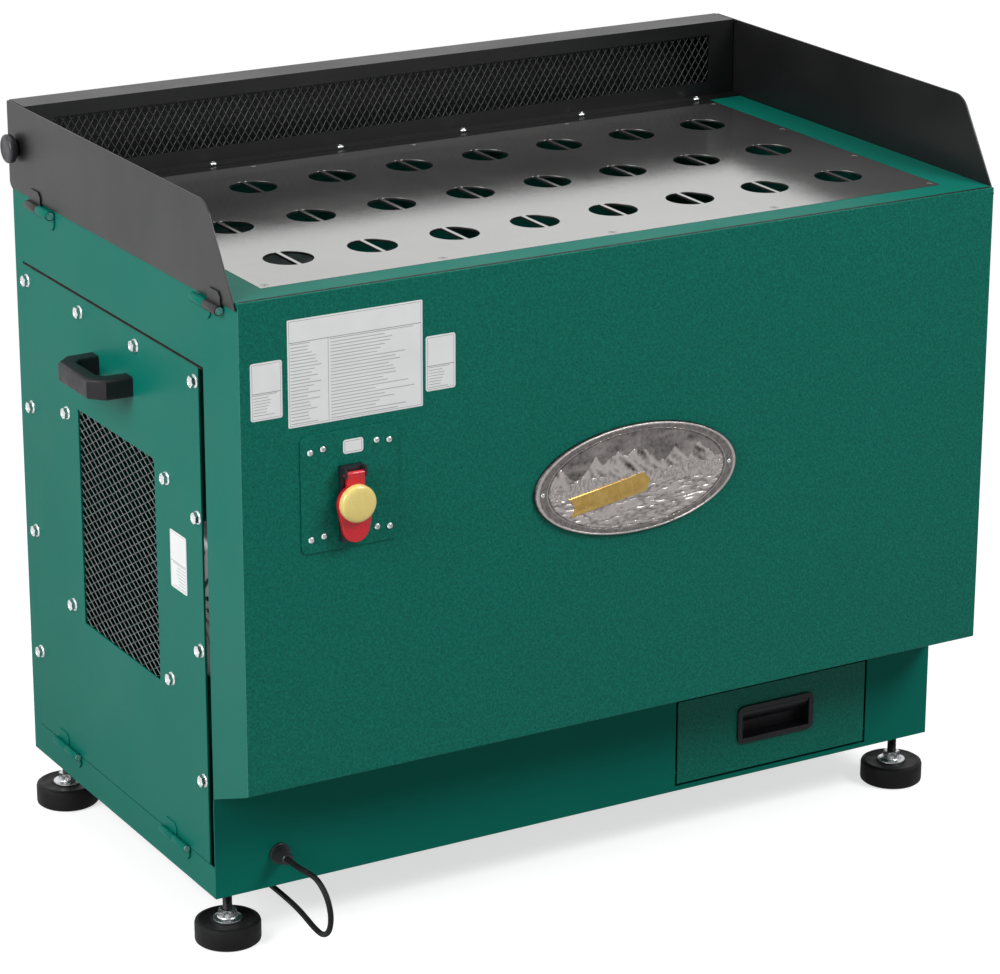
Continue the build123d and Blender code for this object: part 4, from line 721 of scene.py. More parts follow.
def crossed_screw(name, profile, arm, slot, depth):
    """A turned screw head about its own axis with a cross-shaped recess in its top."""
    drawn = turned(bmesh.new(), profile, Vector(), (0, 0, 1), SCREW_STEPS)
    drawn.verts.ensure_lookup_table()
    rim = drawn.verts[-SCREW_STEPS:]
    half, top = slot / 2, profile[-1][0]
    outline = []
    for quarter in range(4):
        turn = Matrix.Rotation(pi / 2 * quarter, 3, "Z")
        outline += [turn @ Vector((x, y, 0)) for x, y in ((half, half), (half, arm), (-half, arm))]
    upper, lower = (
        [drawn.verts.new((p.x * MM * taper, p.y * MM * taper, height * MM)) for p in outline]
        for taper, height in ((1, top), (RECESS_TAPER, top - depth))
    )
    edges = [drawn.edges.get((a, b)) for a, b in zip(rim, rim[1:] + rim[:1])]
    edges += [drawn.edges.new((a, b)) for a, b in zip(upper, upper[1:] + upper[:1])]
    bmesh.ops.triangle_fill(drawn, edges=edges, use_beauty=True, normal=(0, 0, 1))
    for corners in zip(upper, upper[1:] + upper[:1], lower[1:] + lower[:1], lower):
        drawn.faces.new(corners)
    drawn.faces.new(lower)
    bmesh.ops.recalc_face_normals(drawn, faces=drawn.faces)
    return pattern(name, drawn)


screws(
    "worktop_screws_set", crossed_screw("countersunk_screw", COUNTERSUNK, 2.4, 1, 1.6),
    [spot(x, y, PLATE_TOP) for x, y in WORKTOP_SCREWS], (0, 0, 1), "cabinet", worktop_steel,
    "worktop_screws", seed=3,
)


# Side shields: two steel sheets with sloping noses that fold down outwards on flag hinges. Their
# charcoal powder coat looks near black where it mirrors the dark box and grey where it mirrors the
# room. Half of each hinge is painted with its shield and half with the cabinet.
charcoal = painted(
    "charcoal_paint", ((0.0045, 0.0045, 0.005), (0.0035, 0.0035, 0.004)), 0.5, 0.00004
)
for side in ("left", "right"):
    for name, node, width in (("sheet", "", 0.5), ("hinge_leaves", "_leaves", 0.35)):
        ease_piece(
            f"{side}_shield_{name}", f"{side}_shield{node}", width, f"{side}_shield_body",
            "charcoal_paint", charcoal,
        )
ease_piece("cabinet_hinge_leaves", "cabinet_leaves", 0.35, "cabinet", "green_paint", green_paint)
dressed(zinc, "hinge_pins")


# Back shield: a folded charcoal box over the fume slot, with a long window. Its lip runs on to the
# worktop and holds it to the rim with six zinc pan-head screws. The switch plate has eight smaller
# ones of the same make.
LIP_PAINTED_SHADOW = ((-470, 458.4, 763.02), (470, 474.6, 763.35))
LIP_TOP = 765
LIP_SCREWS = [(side * x, 480) for x in (90.5, 271.5, 452.5) for side in (-1, 1)]
SWITCH_MIDDLE = -383.5
PLATE_FACE = -96
SWITCH_SCREWS = [
    (SWITCH_MIDDLE + side * out, z - low)
    for side in (-1, 1)
    for out, low in ((51, 2), (34.5, 0))
    for z in (472.5, 577.5)
]
PAN_HEAD = [
    (-4, 0), (-4, 2.4), (0, 2.4), (0, 4.7), (0.3, 5), (1.3, 4.9), (2.2, 4.2), (2.8, 3.1), (3, 2.6),
]
SMALL_PAN_HEAD = [
    (-4, 0), (-4, 1.9), (0, 1.9), (0, 3.6), (0.2, 3.8), (1, 3.7), (1.7, 3.1), (2.1, 2.4), (2.2, 2),
]
ease_piece("back_shield_box", "back_shield", 0.6, "cabinet", "charcoal_paint", charcoal)
# Painted shadow: a thin charcoal band on the worktop in front of the lip stands in for the dark gap
# under it.
strip("back_shield_lip_edge", *LIP_PAINTED_SHADOW, "cabinet", "charcoal_paint", charcoal)
pan_head = crossed_screw("pan_head_screw", PAN_HEAD, 2.1, 1.4, 2.4)
small_pan_head = crossed_screw("small_pan_head_screw", SMALL_PAN_HEAD, 1.7, 1.1, 1.2)
pan_heads = bmesh.new()
for shape, places, facing in (
    (pan_head, [spot(x, y, LIP_TOP) for x, y in LIP_SCREWS], (0, 0, 1)),
    (small_pan_head, [spot(x, PLATE_FACE, z) for x, z in SWITCH_SCREWS], (0, -1, 0)),
):
    pan_heads.from_mesh(tightened("pan_heads", shape, places, facing, zinc, 5))
place_piece("pan_heads", pan_heads, "cabinet", "zinc_steel", zinc, "pan_head_screws")


# Expanded metal: the back shield's window and the door's are closed by diamond meshes of slit and
# stretched steel, whose slanted strands catch the light along one edge.
BACK_WINDOW = (985.8, 87.8)
BACK_WINDOW_MIDDLE = (0, 497.75, 815)
MESH_NOISES = ((60, 3), (200, 2))
MESH_GRAIN = (1500, 2, 0.00004)
STRAND_OVERLAP = 0.3
STRAND_EDGE = 0.15
STRAND_LEAN = 0.55

mesh_black = mottled(
    "black_expanded_metal", ((0.022, 0.023, 0.024), (0.045, 0.047, 0.048)), *MESH_NOISES,
    (0.36, 0.5), MESH_GRAIN, Metallic=0.35, Specular_IOR_Level=0.5,
)
strand_tree, start = grown_tree(
    "expanded_metal",
    {
        "Width": ("Float", 0.1), "Height": ("Float", 0.1), "Columns": ("Int", 4),
        "Rows": ("Int", 4), "Half Pitch Across": ("Float", 0.01), "Half Pitch Up": ("Float", 0.005),
    },
)
grid_sizes = {"Size X": "Width", "Size Y": "Height", "Vertices X": "Columns", "Vertices Y": "Rows"}
bond_grid = strand_tree.add(
    "GeometryNodeMeshGrid", {name: start.output(size) for name, size in grid_sizes.items()}
)
half_pitches = {"X": start.output("Half Pitch Across"), "Y": start.output("Half Pitch Up")}
between = strand_tree.add("ShaderNodeCombineXYZ", half_pitches)
staggered = strand_tree.add(
    "GeometryNodeTransform", {"Geometry": bond_grid, "Translation": between}
)
bonds = strand_tree.add("GeometryNodeJoinGeometry", {"Geometry": bond_grid})
strand_tree.tree.links.new(staggered.socket, bonds.socket.node.inputs["Geometry"])
close_tree(strand_tree, start, bonds)


def expanded_metal(name, size, pitch, strand, thick, place, body, finish, stands_for):
    """Expanded metal across and up a window, in millimetres, cut off at its edges.

    place puts a flat sheet in x and y into the window; its z is the sheet's outside."""
    (wide, tall), (across, up) = size, pitch
    pair = bmesh.new()
    for side in (-1, 1):
        end = Vector((side * across / 2, up / 2, 0))
        along = end.normalized()
        tilt = Vector((-along.y, along.x, 0)) * strand / 2
        lean = Vector((0, 0, thick / 2))
        section = [tilt + lean * STRAND_EDGE, tilt * STRAND_LEAN + lean]
        section += [-corner for corner in section]
        over = along * strand * STRAND_OVERLAP
        ends = (-over, end + over)
        joined(pair, [[pair.verts.new((at + s) * MM) for s in section] for at in ends])
    bmesh.ops.recalc_face_normals(pair, faces=pair.faces)
    columns, rows = ceil(wide / across) + 2, ceil(tall / up) + 2
    mesh = grown(
        name, strand_tree, bpy.data.meshes.new(name), finish,
        Shape=pattern(name + "_strands", pair), Width=(columns - 1) * across * MM,
        Height=(rows - 1) * up * MM, Columns=columns, Rows=rows, Half_Pitch_Across=across / 2 * MM,
        Half_Pitch_Up=up / 2 * MM,
    )
    cut = bmesh.new()
    cut.from_mesh(mesh)
    for side in ((1, 0), (-1, 0), (0, 1), (0, -1)):
        bmesh.ops.bisect_plane(
            cut, geom=cut.verts[:] + cut.edges[:] + cut.faces[:],
            plane_co=(side[0] * wide / 2 * MM, side[1] * tall / 2 * MM, 0), plane_no=(*side, 0),
            clear_outer=True,
        )
        bmesh.ops.holes_fill(cut, edges=cut.edges, sides=0)
    cut.transform(place)
    return place_piece(name, cut, body, "black_mesh", finish, stands_for, crease=20)


def standing(middle, right, outward):
    """A transform from a flat sheet's x, y and z to right, up and outward at its middle."""
    right, outward = Vector(right), Vector(outward)
    turn = Matrix((right, outward.cross(right), outward)).transposed().to_4x4()
    return Matrix.Translation(spot(*middle)) @ turn


expanded_metal(
    "back_window_mesh", BACK_WINDOW, (10.6, 17), 1.5, 1.1,
    standing(BACK_WINDOW_MIDDLE, (1, 0, 0), (0, -1, 0)), "cabinet", mesh_black, "back_mesh",
)


# Shield knobs: black moulded knobs on zinc studs. Drawn outwards, a stud leaves its hole in the
# back shield's end and lets the side shield fold.
KNOB_PLACE = (510, 517, 809)
KNOB = [
    (13.4, 0), (13.4, 10.6), (14, 11), (16.9, 11), (17.4, 13.5), (17.5, 16.4), (18.3, 17.6),
    (19.6, 18), (24.2, 18), (25.6, 17.5), (26.7, 16.2), (27.2, 14.2), (27.3, 12.6), (26.7, 11.6),
    (26.5, 6), (26.5, 0),
]
STUD = [(2, 0), (2, 3.2), (2.8, 4), (13.5, 4), (13.5, 0)]
for side, sign in (("left", -1), ("right", 1)):
    body = f"{side}_knob_body"
    stud_start = spot(sign * KNOB_PLACE[0], *KNOB_PLACE[1:])
    knob, stud = (
        turned(bmesh.new(), profile, stud_start, (sign, 0, 0), steps)
        for profile, steps in ((KNOB, 56), (STUD, 32))
    )
    place_piece(f"{side}_knob_grip", knob, body, "black_plastic", black_plastic, crease=24)
    place_piece(f"{side}_knob_stud", stud, body, "zinc_steel", zinc, f"{side}_knob")


# Access door: a flat sheet that drops open about its lower edge. Ten flanged hex screws hold it to
# the jamb round the opening, and four more hold the mesh behind its window. Two thin black strips
# in the gap over it are painted shadow, standing in for the gap's dark shade.
DOOR_FACE = -520.8
DOOR_SCREWS = [(y, z) for y in (22.5, 503) for z in (146, 311.3, 476.7, 642)]
DOOR_SCREWS += [(182.7, 642), (342.8, 642)]
DOOR_SCREWS += [(y, z) for y in (106, 392) for z in (247, 500)]
DOOR_WINDOW = (307.8, 302.8)
DOOR_WINDOW_MIDDLE = (-518.05, 249, 373.5)
DOOR_TOP_SHADOW = ((-520.7, 3, 661.02), (-518.9, 511, 662.6))
DOOR_OPENING_SHADOW = ((-519.6, 2.3, 662.9), (-518.05, 512.8, 664.45))
HEX_SCREW = [
    (4, -2), (4, 0), (8.3, 0), (8.5, 0.3), (8.3, 0.7), (7.7, 1.5), (6.5, 1.6, 0), (6.5, 6.25, 0.6),
    (6, 6.5), (4.8, 6.5), (4.2, 5.8), (1.2, 5.7),
]
HEX_STEPS = 36


def hexed(drawn, rows, place=Vector()):
    """Adds a closed body through rows, in millimetres: (radius, height) where it is round, and
    (half the width across its flats, height, the corners' fall) where it is a hexagon."""
    rings = []
    for radius, height, *fall in rows:
        ring = []
        for step in range(HEX_STEPS):
            angle = 2 * pi * step / HEX_STEPS
            reach, low = radius, 0
            if fall:
                reach /= cos((angle + pi / 6) % (pi / 3) - pi / 6)
                low = (reach - radius) * fall[0]
            at = Vector((reach * cos(angle), reach * sin(angle), height - low)) * MM
            ring.append(drawn.verts.new(place + at))
        rings.append(ring)
    return joined(drawn, rings)


ease_piece("access_door_sheet", "access_door", 0.6, "door", "green_paint", green_paint)
ease_piece("door_hinge_leaves", "door_leaves", 0.25, "door", "zinc_steel", green_paint)
mesh_grey = mottled(
    "grey_expanded_metal", ((0.12, 0.14, 0.14), (0.20, 0.23, 0.226)), *MESH_NOISES, (0.34, 0.48),
    MESH_GRAIN, Metallic=0.5,
)
expanded_metal(
    "door_window_mesh", DOOR_WINDOW, (21, 11.3), 0.95, 0.9,
    standing(DOOR_WINDOW_MIDDLE, (0, -1, 0), (-1, 0, 0)), "door", mesh_grey, "door_mesh",
)
screws(
    "door_hex_screws", pattern("flanged_hex_screw", hexed(bmesh.new(), HEX_SCREW)),
    [spot(DOOR_FACE, y, z) for y, z in DOOR_SCREWS], (-1, 0, 0), "door", zinc, "door_screws",
    seed=11,
)
# Painted shadow: two black strips, on the door and in the opening, stand in for the dark gap above
# the door.
strip("door_top_seal", *DOOR_TOP_SHADOW, "door", "black_rubber", rubber)
strip("door_opening_seal", *DOOR_OPENING_SHADOW, "cabinet", "black_rubber", rubber)


# Bow handle: black glass-filled plastic with chamfered corners and a pebbled grip, bolted through
# the door from inside.
BOW = [
    ((-520.8, 192), (-520.8, 215)), ((-555, 193.5), (-546, 215.5)), ((-572.6, 211), (-553.5, 223)),
    ((-572.6, 293), (-553.5, 281)), ((-555, 310.5), (-546, 288.5)), ((-520.8, 312), (-520.8, 289)),
]
BOW_MIDDLE = 588
BOW_WIDTH = 25
BOW_CORNER = 3.2


def on_bow(side, up, ends):
    outer, inner = ends
    share = 0.5 + side / dist(outer, inner)
    x, y = (near + (far - near) * share for far, near in zip(outer, inner))
    return spot(x, y, BOW_MIDDLE + up)


handle_plastic = mottled(
    "handle_plastic", ((0.006, 0.006, 0.008), (0.011, 0.011, 0.014)), (24, 3), (60, 3), (0.36, 0.5),
    Specular_IOR_Level=0.3,
)
handle_plastic.relief(handle_plastic.cells(1100), 0.00008)
bow = [(oblong(dist(*ends), BOW_WIDTH, BOW_CORNER), ends) for ends in BOW]
place_piece(
    "door_bow_handle", closed(bow, on_bow), "door", "black_plastic", handle_plastic, "door_handle",
    crease=38,
)


# Dust drawer: a green front, a galvanised tray welded up from flat sheets, and two runners on the
# cabinet's floor. A black moulded pull with a sloping hood snaps into the front, and a green sill
# under the front closes its gap.
DRAWER_SILL = ((110, 1.6, 3), (468, 80, 4.5))
HOOD = [
    (-2.2, 88.4), (-1.8, 86.4), (0.4, 82), (9.4, 70.6), (11, 70), (11.8, 71.2), (10.8, 73),
    (3.4, 84), (2.4, 88.4),
]
HOOD_ENDS = (228.4, 329.6)
galvanised = Finish("galvanised_sheet", Metallic=0.75, Specular_IOR_Level=0.4)
spangle = galvanised.cells(95, "F1", "Color")
spangle_tone = galvanised.add("ShaderNodeSeparateColor", {"Color": spangle}, "Red")
dulled = spangle_tone * 0.5 + galvanised.noise(40, 3) * 0.5
galvanised.give(
    Base_Color=galvanised.mix(spangle_tone, (0.40, 0.42, 0.43), (0.56, 0.58, 0.59)),
    Roughness=galvanised.spread(dulled, 0.2, 0.8, 0.3, 0.48),
)
galvanised.relief(galvanised.noise(900, 2), 0.00003)
ease_piece("drawer_front_sheet", "drawer_front", 0.5, "drawer", "green_paint", hammered)
ease_piece("drawer_pull_cup", "drawer_pull", 1.3, "drawer", "black_plastic", handle_plastic, 3)
dressed(galvanised, "drawer_tray", "drawer_runners")
strip("drawer_sill", *DRAWER_SILL, "cabinet", "green_paint", green_paint)
hood = closed([(HOOD, x) for x in HOOD_ENDS], lambda y, z, x: spot(x, y, z))
place_piece("drawer_pull_hood", hood, "drawer", "black_plastic", handle_plastic)


# Paddle switch: a hammered green plate on the apron carries a black housing. The red stop flap with
# its yellow dome hangs from a pin at the top and covers the green and the red button.
DOME_PLACE = (SWITCH_MIDDLE, -111.5, 512)
DOME = [
    (0, 0), (0, 22.1), (0.5, 22.5), (5.2, 22.5), (6.9, 22), (8.2, 20.8), (9.1, 18.4), (9.6, 14.5),
    (9.9, 8), (10, 0),
]


def moulded(name, colours, coat):
    """Smooth moulded plastic with faint flow marks."""
    flow, grain = (45, 4, 0.6), (130, 3)
    bumps = (1700, 1, 0.00002)
    gloss = (0.24, 0.34)
    return mottled(name, colours, flow, grain, gloss, bumps, EVEN_PATCHES, Coat_Weight=coat)


red_plastic = moulded("red_plastic", ((0.72, 0.006, 0.02), (0.62, 0.005, 0.016)), 0.3)
yellow_plastic = moulded("yellow_plastic", ((0.93, 0.75, 0.25), (0.90, 0.70, 0.20)), 0.5)
green_plastic = moulded("green_plastic", ((0.02, 0.30, 0.06), (0.015, 0.25, 0.05)), 0.0)
ease_piece("switch_plate_sheet", "switch_plate", 0.4, "cabinet", "hammered_green", hammered)
ease_piece("switch_housing_shell", "switch_housing", 0.5, "cabinet", "black_plastic", black_plastic)
ease_piece("switch_stop_flap", "switch_flap", 0.9, "stop_flap", "red_plastic", red_plastic, 3)
place_piece(
    "stop_flap_dome", turned(bmesh.new(), DOME, spot(*DOME_PLACE), (0, -1, 0), 64), "stop_flap",
    "yellow_plastic", yellow_plastic, "flap_thumb",
)
dressed(green_plastic, "start_button")
dressed(red_plastic, "stop_button")


# Oval plaque: cast pewter with a raised bead, a landscape in low relief, dark wax in its hollows
# and a plain gilt ribbon, held by two round-headed rivets.
PLAQUE = (3, 472)
PLAQUE_HALF = (142, 68.5)
PLAQUE_FACE = -98
PLAQUE_BACK = -94
PLAQUE_GRID = (280, 144)
BEAD = (0.9, 4.3)
INNER_BEAD = (10, 11.8)
ROUNDED = 1.2
GREATEST_LIFT = 2.1
WAXED_LIFT = 1.3
RIBBON_TILT = radians(9)
RIBBON_MIDDLE = (-40, -12)
RIBBON = [(-56, -13), (50, -13), (58, -1), (50, 11), (-56, 11), (-48, -1)]
RIBBON_SECTION = [(0, -0.4), (0, 2.2), (0.8, 2.7), (2.2, 2.7), (2.9, 2.3)]
RIVETS_OUT = 131
RIVET = [(-1, 0), (-1, 2.9), (0.2, 2.9), (0.7, 2.6), (1.2, 1.8), (1.45, 0)]


def rough(x, z, across, up, layer):
    """Smooth chance relief from -1 to 1, with bumps about across wide and up high."""
    return noise.noise(Vector((x / across, z / up, layer)))


def far_ridge(x):
    peaks = 1 - abs(rough(x, 0, 46, 1, 3.7)) * 2.4
    return 12 + 24 * peaks + 5 * rough(x, 0, 11, 1, 8.1) + 2 * rough(x, 0, 4, 1, 2.3)


def landscape(x, z):
    """The casting's height in millimetres at x across and z up from the plaque's middle: sky,
    mountains, woods and a lake, from the top down."""
    if z > far_ridge(x):
        return 0.34 + 0.22 * rough(x, z, 26, 7, 5.5) + 0.06 * rough(x, z, 3, 3, 1.2)
    if z > 9 + 5 * rough(x, 0, 30, 1, 6.4):
        crags = 1 - abs(rough(x + z, z, 13, 22, 9.3)) * 2.6
        return 0.5 + 0.55 * crags + 0.3 * rough(x, z, 3.4, 5.2, 4.4)
    if z > -9 + 7 * rough(x, 0, 42, 1, 1.9):
        crowns = abs(rough(x, z, 3.1, 6.5, 7.7)) + abs(rough(x, z, 1.9, 2.6, 3.1)) * 0.7
        return 0.35 + 1.15 * crowns
    swell = abs(rough(x, z, 21, 4.4, 2.6)) * 1.5 + 0.35 * rough(x, z, 5, 2.2, 8.8)
    return 0.42 + swell


def bump_between(value, low, high):
    """A rounded ridge from low to high, 1 at its middle."""
    share = (value - low) / (high - low)
    return sin(pi * share) ** 0.6 if 0 < share < 1 else 0.0


def on_plaque(x, z, proud):
    return spot(PLAQUE[0] + x, PLAQUE_FACE - proud, PLAQUE[1] + z)


def on_ribbon(x, z, proud):
    across = x * cos(RIBBON_TILT) - z * sin(RIBBON_TILT) + RIBBON_MIDDLE[0]
    return on_plaque(across, x * sin(RIBBON_TILT) + z * cos(RIBBON_TILT) + RIBBON_MIDDLE[1], proud)


def cast_height(x, z):
    """How far the casting stands out of the plaque's face."""
    reach = hypot(x / PLAQUE_HALF[0], z / PLAQUE_HALF[1])
    inset = (1 - reach) * min(PLAQUE_HALF) * 1.35
    raised = 1.35 * bump_between(inset, *BEAD) + 0.9 * bump_between(inset, *INNER_BEAD)
    if BEAD[1] < inset < INNER_BEAD[0]:
        raised = 0.42 + 0.12 * rough(x, z, 2.4, 2.4, 6.6)
    if inset > INNER_BEAD[1]:
        raised = min(GREATEST_LIFT, 1.5 * landscape(x, z)) * min(1.0, (inset - INNER_BEAD[1]) / 2)
    return raised - ROUNDED * max(0.0, 1 - inset / ROUNDED) ** 2


casting = bmesh.new()
lifted = casting.verts.layers.float.new("lifted")
cast_rows = []
for row in range(PLAQUE_GRID[1] + 1):
    line = []
    for column in range(PLAQUE_GRID[0] + 1):
        u = 2 * column / PLAQUE_GRID[0] - 1
        v = 2 * row / PLAQUE_GRID[1] - 1
        x = u * sqrt(1 - v * v / 2) * PLAQUE_HALF[0]
        z = v * sqrt(1 - u * u / 2) * PLAQUE_HALF[1]
        raised = cast_height(x, z)
        vertex = casting.verts.new(on_plaque(x, z, raised))
        vertex[lifted] = min(1.0, max(0.0, raised / WAXED_LIFT))
        line.append(vertex)
    cast_rows.append(line)
for lower, upper in zip(cast_rows, cast_rows[1:]):
    for i in range(PLAQUE_GRID[0]):
        casting.faces.new((lower[i], lower[i + 1], upper[i + 1], upper[i]))
rim_loop = cast_rows[0][:-1] + [line[-1] for line in cast_rows[:-1]]
rim_loop += cast_rows[-1][:0:-1] + [line[0] for line in cast_rows[:0:-1]]
plaque_back = spot(0, PLAQUE_BACK, 0).y
behind = [casting.verts.new((v.co.x, plaque_back, v.co.z)) for v in rim_loop]
for i in range(len(rim_loop)):
    j = (i + 1) % len(rim_loop)
    casting.faces.new((rim_loop[j], rim_loop[i], behind[i], behind[j]))
casting.faces.new(behind)
bmesh.ops.recalc_face_normals(casting, faces=casting.faces)

pewter = Finish("cast_pewter", Metallic=0.9)
pewter_lift = pewter.add("ShaderNodeAttribute", output="Fac", attribute_name="lifted")
pewter_stain = pewter.noise(160, 4, 0.65)
pewter_bright = pewter.spread(pewter_lift * 0.7 + pewter_stain * 0.5, 0.25, 0.95)
pewter.give(
    Base_Color=pewter.mix(pewter_bright, (0.055, 0.048, 0.046), (0.60, 0.555, 0.54)),
    Roughness=pewter.spread(pewter_stain, *EVEN_PATCHES, 0.26, 0.4),
)
pewter.relief(pewter.noise(700, 3, 0.65), 0.0003)
place_piece("front_plaque_casting", casting, "cabinet", "pewter", pewter, "front_plaque", crease=70)

gilt = mottled(
    "gilt", ((0.56, 0.36, 0.10), (0.68, 0.47, 0.16)), (110, 4, 0.6), (240, 3), (0.26, 0.42),
    (900, 2, 0.00008), Metallic=1.0,
)
ribbon = [
    ([(x * (1 - inset / 34), (z + 1) * (1 - inset / 12) - 1) for x, z in RIBBON], proud)
    for inset, proud in RIBBON_SECTION
]
place_piece("plaque_ribbon", closed(ribbon, on_ribbon), "cabinet", "pewter", gilt)
screws(
    "plaque_rivets", pattern("round_rivet", turned(bmesh.new(), RIVET, Vector(), (0, 0, 1), 24)),
    [on_plaque(side * RIVETS_OUT, 0, 0) for side in (-1, 1)], (0, -1, 0), "cabinet", zinc,
)


# Cards: white film labels on the apron, the switch plate and the door, left blank but for a thin
# printed border and the grey rules of an empty form.
CARD_THICK = 0.25
CARD_EDGE = 0.08
APRON_FACE = -94
BORDER = (1.9, 2.4)
FORM_MARGIN = 3.6
INK = (0.20, 0.205, 0.215)


def printed_film(name, centre, half, axis, header, pitch, fold):
    """White film with a border, a header rule, a column rule at fold and rules pitch apart.

    Sizes are in millimetres; axis is the one that runs along the card."""
    film = Finish(name, Roughness=0.32, Specular_IOR_Level=0.45)
    place = film.along(axis)
    along = (place - getattr(centre, axis.lower())) / MM
    up = (place.output("Z") - centre.z) / MM
    edge = (abs(along) - half[0]).maths("MAXIMUM", abs(up) - half[1])
    border = (edge > -BORDER[1]) * (edge < -BORDER[0])
    top = half[1] - header
    form = (up < top) * (edge < -FORM_MARGIN)
    header_rule = (abs(up - top) < 0.35) * (edge < -2)
    column = (abs(along - fold) < 0.3) * (up < top) * (edge < -2)
    row = (up - top) / pitch
    number = row.maths("FLOOR")
    side = along > fold
    length = film.add(
        "ShaderNodeTexWhiteNoise", {"W": number + side * 37.3}, "Value", noise_dimensions="1D"
    )
    start = side * (fold + 3) + (1 - side) * (3.5 - half[0])
    room = side * (half[0] - 8 - fold) + (1 - side) * (half[0] - 8 + fold)
    share = (along - start) / room
    written = (share > 0) * (share < length * 0.45 + 0.5)
    rules = (row - number > 0.36) * (row - number < 0.62) * written * form
    inked = border * 0.8 + header_rule + column * 0.8 + rules * 0.62
    white = film.mix(
        film.spread(film.noise(30, 2), *EVEN_PATCHES), (0.88, 0.885, 0.89), (0.92, 0.925, 0.93)
    )
    film.give(Base_Color=film.mix(inked.maths("MINIMUM", 1.0), white, INK))
    return film


def card(name, low, high, depth, header, pitch, fold=None, corner=3, front=True):
    """A thin card between two corners, on the apron or, where it isn't in front, on the door."""
    middle = [(first + last) / 2 for first, last in zip(low, high)]
    half = [(last - first) / 2 for first, last in zip(low, high)]

    def on_sheet(across, up, distance):
        if front:
            return spot(middle[0] + across, depth - distance, middle[1] + up)
        return spot(depth - distance, middle[0] + across, middle[1] + up)

    outline = oblong(2 * half[0], 2 * half[1], corner, 5)
    small = oblong(2 * half[0] - 0.2, 2 * half[1] - 0.2, corner - 0.1, 5)
    sections = [(outline, 0), (outline, CARD_THICK - CARD_EDGE), (small, CARD_THICK)]
    axis, body, slot = ("X", "cabinet", "hammered_green") if front else ("Y", "door", "green_paint")
    fold = -half[0] if fold is None else fold
    film = printed_film(name, on_sheet(0, 0, 0), half, axis, header, pitch, fold)
    place_piece(name, closed(sections, on_sheet), body, slot, film)


card("data_card", (-460, 608), (-287, 735), APRON_FACE, 27, 3.9, -35.0, 1.5)
card("left_card", (-507, 623), (-467, 691), APRON_FACE, 36, 3.4)
card("right_card", (-283, 624), (-244, 690), APRON_FACE, 36, 3.4)
card("switch_card", (-392, 567), (-366, 584), PLATE_FACE, 40, 3.4, corner=3.5)
card("door_card", (56, 368), (100, 440), DOOR_FACE, 38, 4.0, front=False)


# Levelling feet: a thick rubber pad under a black threaded stem, with a zinc cup washer and a lock
# nut. The stem screws in a socket that is welded to the cabinet's floor.
FOOT_PLACES = {
    "front_left": (-490, 32), "front_right": (490, 32), "back_left": (-490, 508),
    "back_right": (490, 508),
}
FLOOR_LEVEL = -72
PAD = [
    (0, 0), (0, 34), (0.6, 38.2), (2.2, 40.1), (4.6, 40.5), (23.6, 40.5), (26.2, 39.6),
    (27.6, 37.4), (28, 34.6), (27.4, 33.6), (27.4, 20.5), (28, 19.6), (28, 6.6), (19, 6.6), (19, 0),
]
CUP = [
    (28.02, 5.9), (28.02, 17.5), (28.6, 18), (29.4, 17.8), (29.9, 16.6), (30.1, 13.6), (31.2, 12),
    (32, 11.6), (32, 5.9), (28.02, 5.9),
]
LOCK_NUT = [(9.1, 32), (9.5, 32.9, 0), (9.5, 40.7, 0.6), (9.1, 41), (6.6, 41), (6.1, 40.4)]
STEM_FOOT, THREAD_FOOT, THREAD_TOP, STEM_TOP = 19, 41, 93, 134
STEM_RADIUS, STEM_TIP, THREAD_ROOT, THREAD_DEPTH = 5.9, 5, 5.05, 0.9
THREAD_PITCH = 1.75
THREAD_STEPS = 24
blackened = mottled(
    "blackened_steel", ((0.028, 0.028, 0.030), (0.06, 0.06, 0.062)), (220, 3), (500, 2),
    (0.34, 0.48), (1500, 2, 0.00003), Metallic=0.85,
)


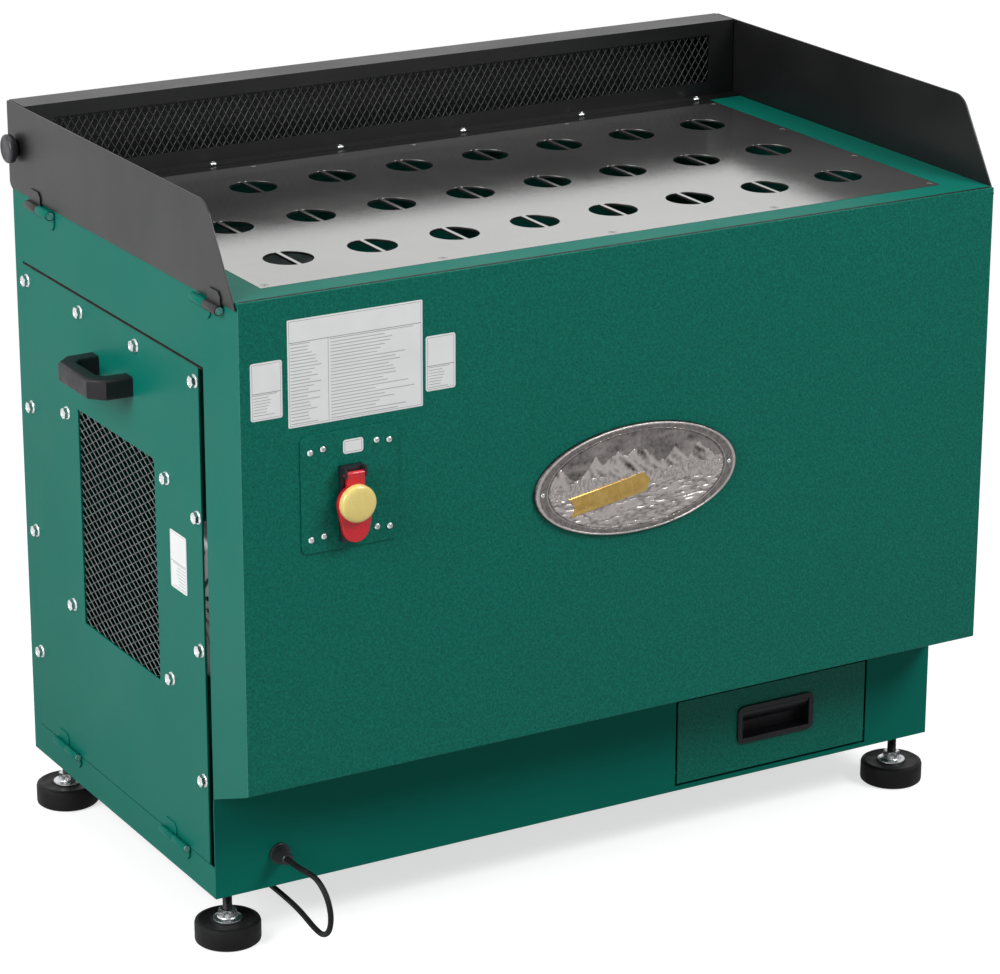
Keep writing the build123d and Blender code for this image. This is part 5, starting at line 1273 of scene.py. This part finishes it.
def threaded_stem(place):
    """A rod with a helical thread between its plain ends."""
    drawn = bmesh.new()
    turns = int((THREAD_TOP - THREAD_FOOT) / THREAD_PITCH * 4)
    heights = [(z, STEM_RADIUS) for z in (STEM_FOOT, THREAD_FOOT - 1, THREAD_FOOT)]
    heights += [(THREAD_FOOT + (i + 1) * THREAD_PITCH / 4, None) for i in range(turns)]
    heights += [(z, STEM_RADIUS) for z in (THREAD_TOP + 0.6, STEM_TOP - 1.2)]
    heights.append((STEM_TOP, STEM_TIP))
    rings = []
    for height, plain in heights:
        ring = []
        for i in range(THREAD_STEPS):
            phase = height / THREAD_PITCH - i / THREAD_STEPS
            radius = plain or THREAD_ROOT + THREAD_DEPTH * abs(phase % 1 * 2 - 1)
            angle = 2 * pi * i / THREAD_STEPS
            at = Vector((radius * cos(angle), radius * sin(angle), height)) * MM
            ring.append(drawn.verts.new(place + at))
        rings.append(ring)
    return joined(drawn, rings)


for corner, (x, y) in FOOT_PLACES.items():
    ground = spot(x, y, FLOOR_LEVEL)
    body = f"foot_{corner}"
    pad = turned(bmesh.new(), PAD, ground, (0, 0, 1), 72)
    place_piece(f"{body}_pad", pad, body, "black_rubber", rubber, f"foot_pad_{corner}")
    cup = turned(bmesh.new(), CUP, ground, (0, 0, 1), 48)
    bmesh.ops.remove_doubles(cup, verts=cup.verts, dist=0.001 * MM)
    place_piece(f"{body}_lock_nut", hexed(cup, LOCK_NUT, ground), body, "zinc_steel", zinc)
    stem = threaded_stem(ground)
    place_piece(f"{body}_stem", stem, body, "zinc_steel", blackened, f"foot_stem_{corner}")


# Inside: galvanised partitions and hopper, two pleated filter cartridges, and the blower with its
# cast motor, which shows through the door's mesh.
dressed(
    galvanised, "filter_wall", "blower_wall", "air_deck", "spark_baffle", "dust_hopper",
    "filter_caps", "blower_housing", "impeller",
)
fleece = Finish("filter_fleece", Roughness=0.85, Specular_IOR_Level=0.2, Sheen_Weight=0.2)
fleece_dust = fleece.spread(fleece.noise(14, 4, 0.6), 0.35, 0.75)
fleece.give(Base_Color=fleece.mix(fleece_dust, (0.72, 0.71, 0.67), (0.50, 0.48, 0.44)))
fleece.relief(fleece.noise(1800, 3, 0.7), 0.0002)
dressed(fleece, "filter_media")
cast_metal = mottled(
    "cast_aluminium", ((0.38, 0.39, 0.40), (0.52, 0.53, 0.54)), (50, 4), (800, 3, 0.65),
    (0.36, 0.54), (800, 3, 0.65, 0.00012), EVEN_PATCHES, Metallic=0.85,
)
dressed(cast_metal, "motor_casing", "motor_cowl")
dressed(zinc, "motor_shaft")
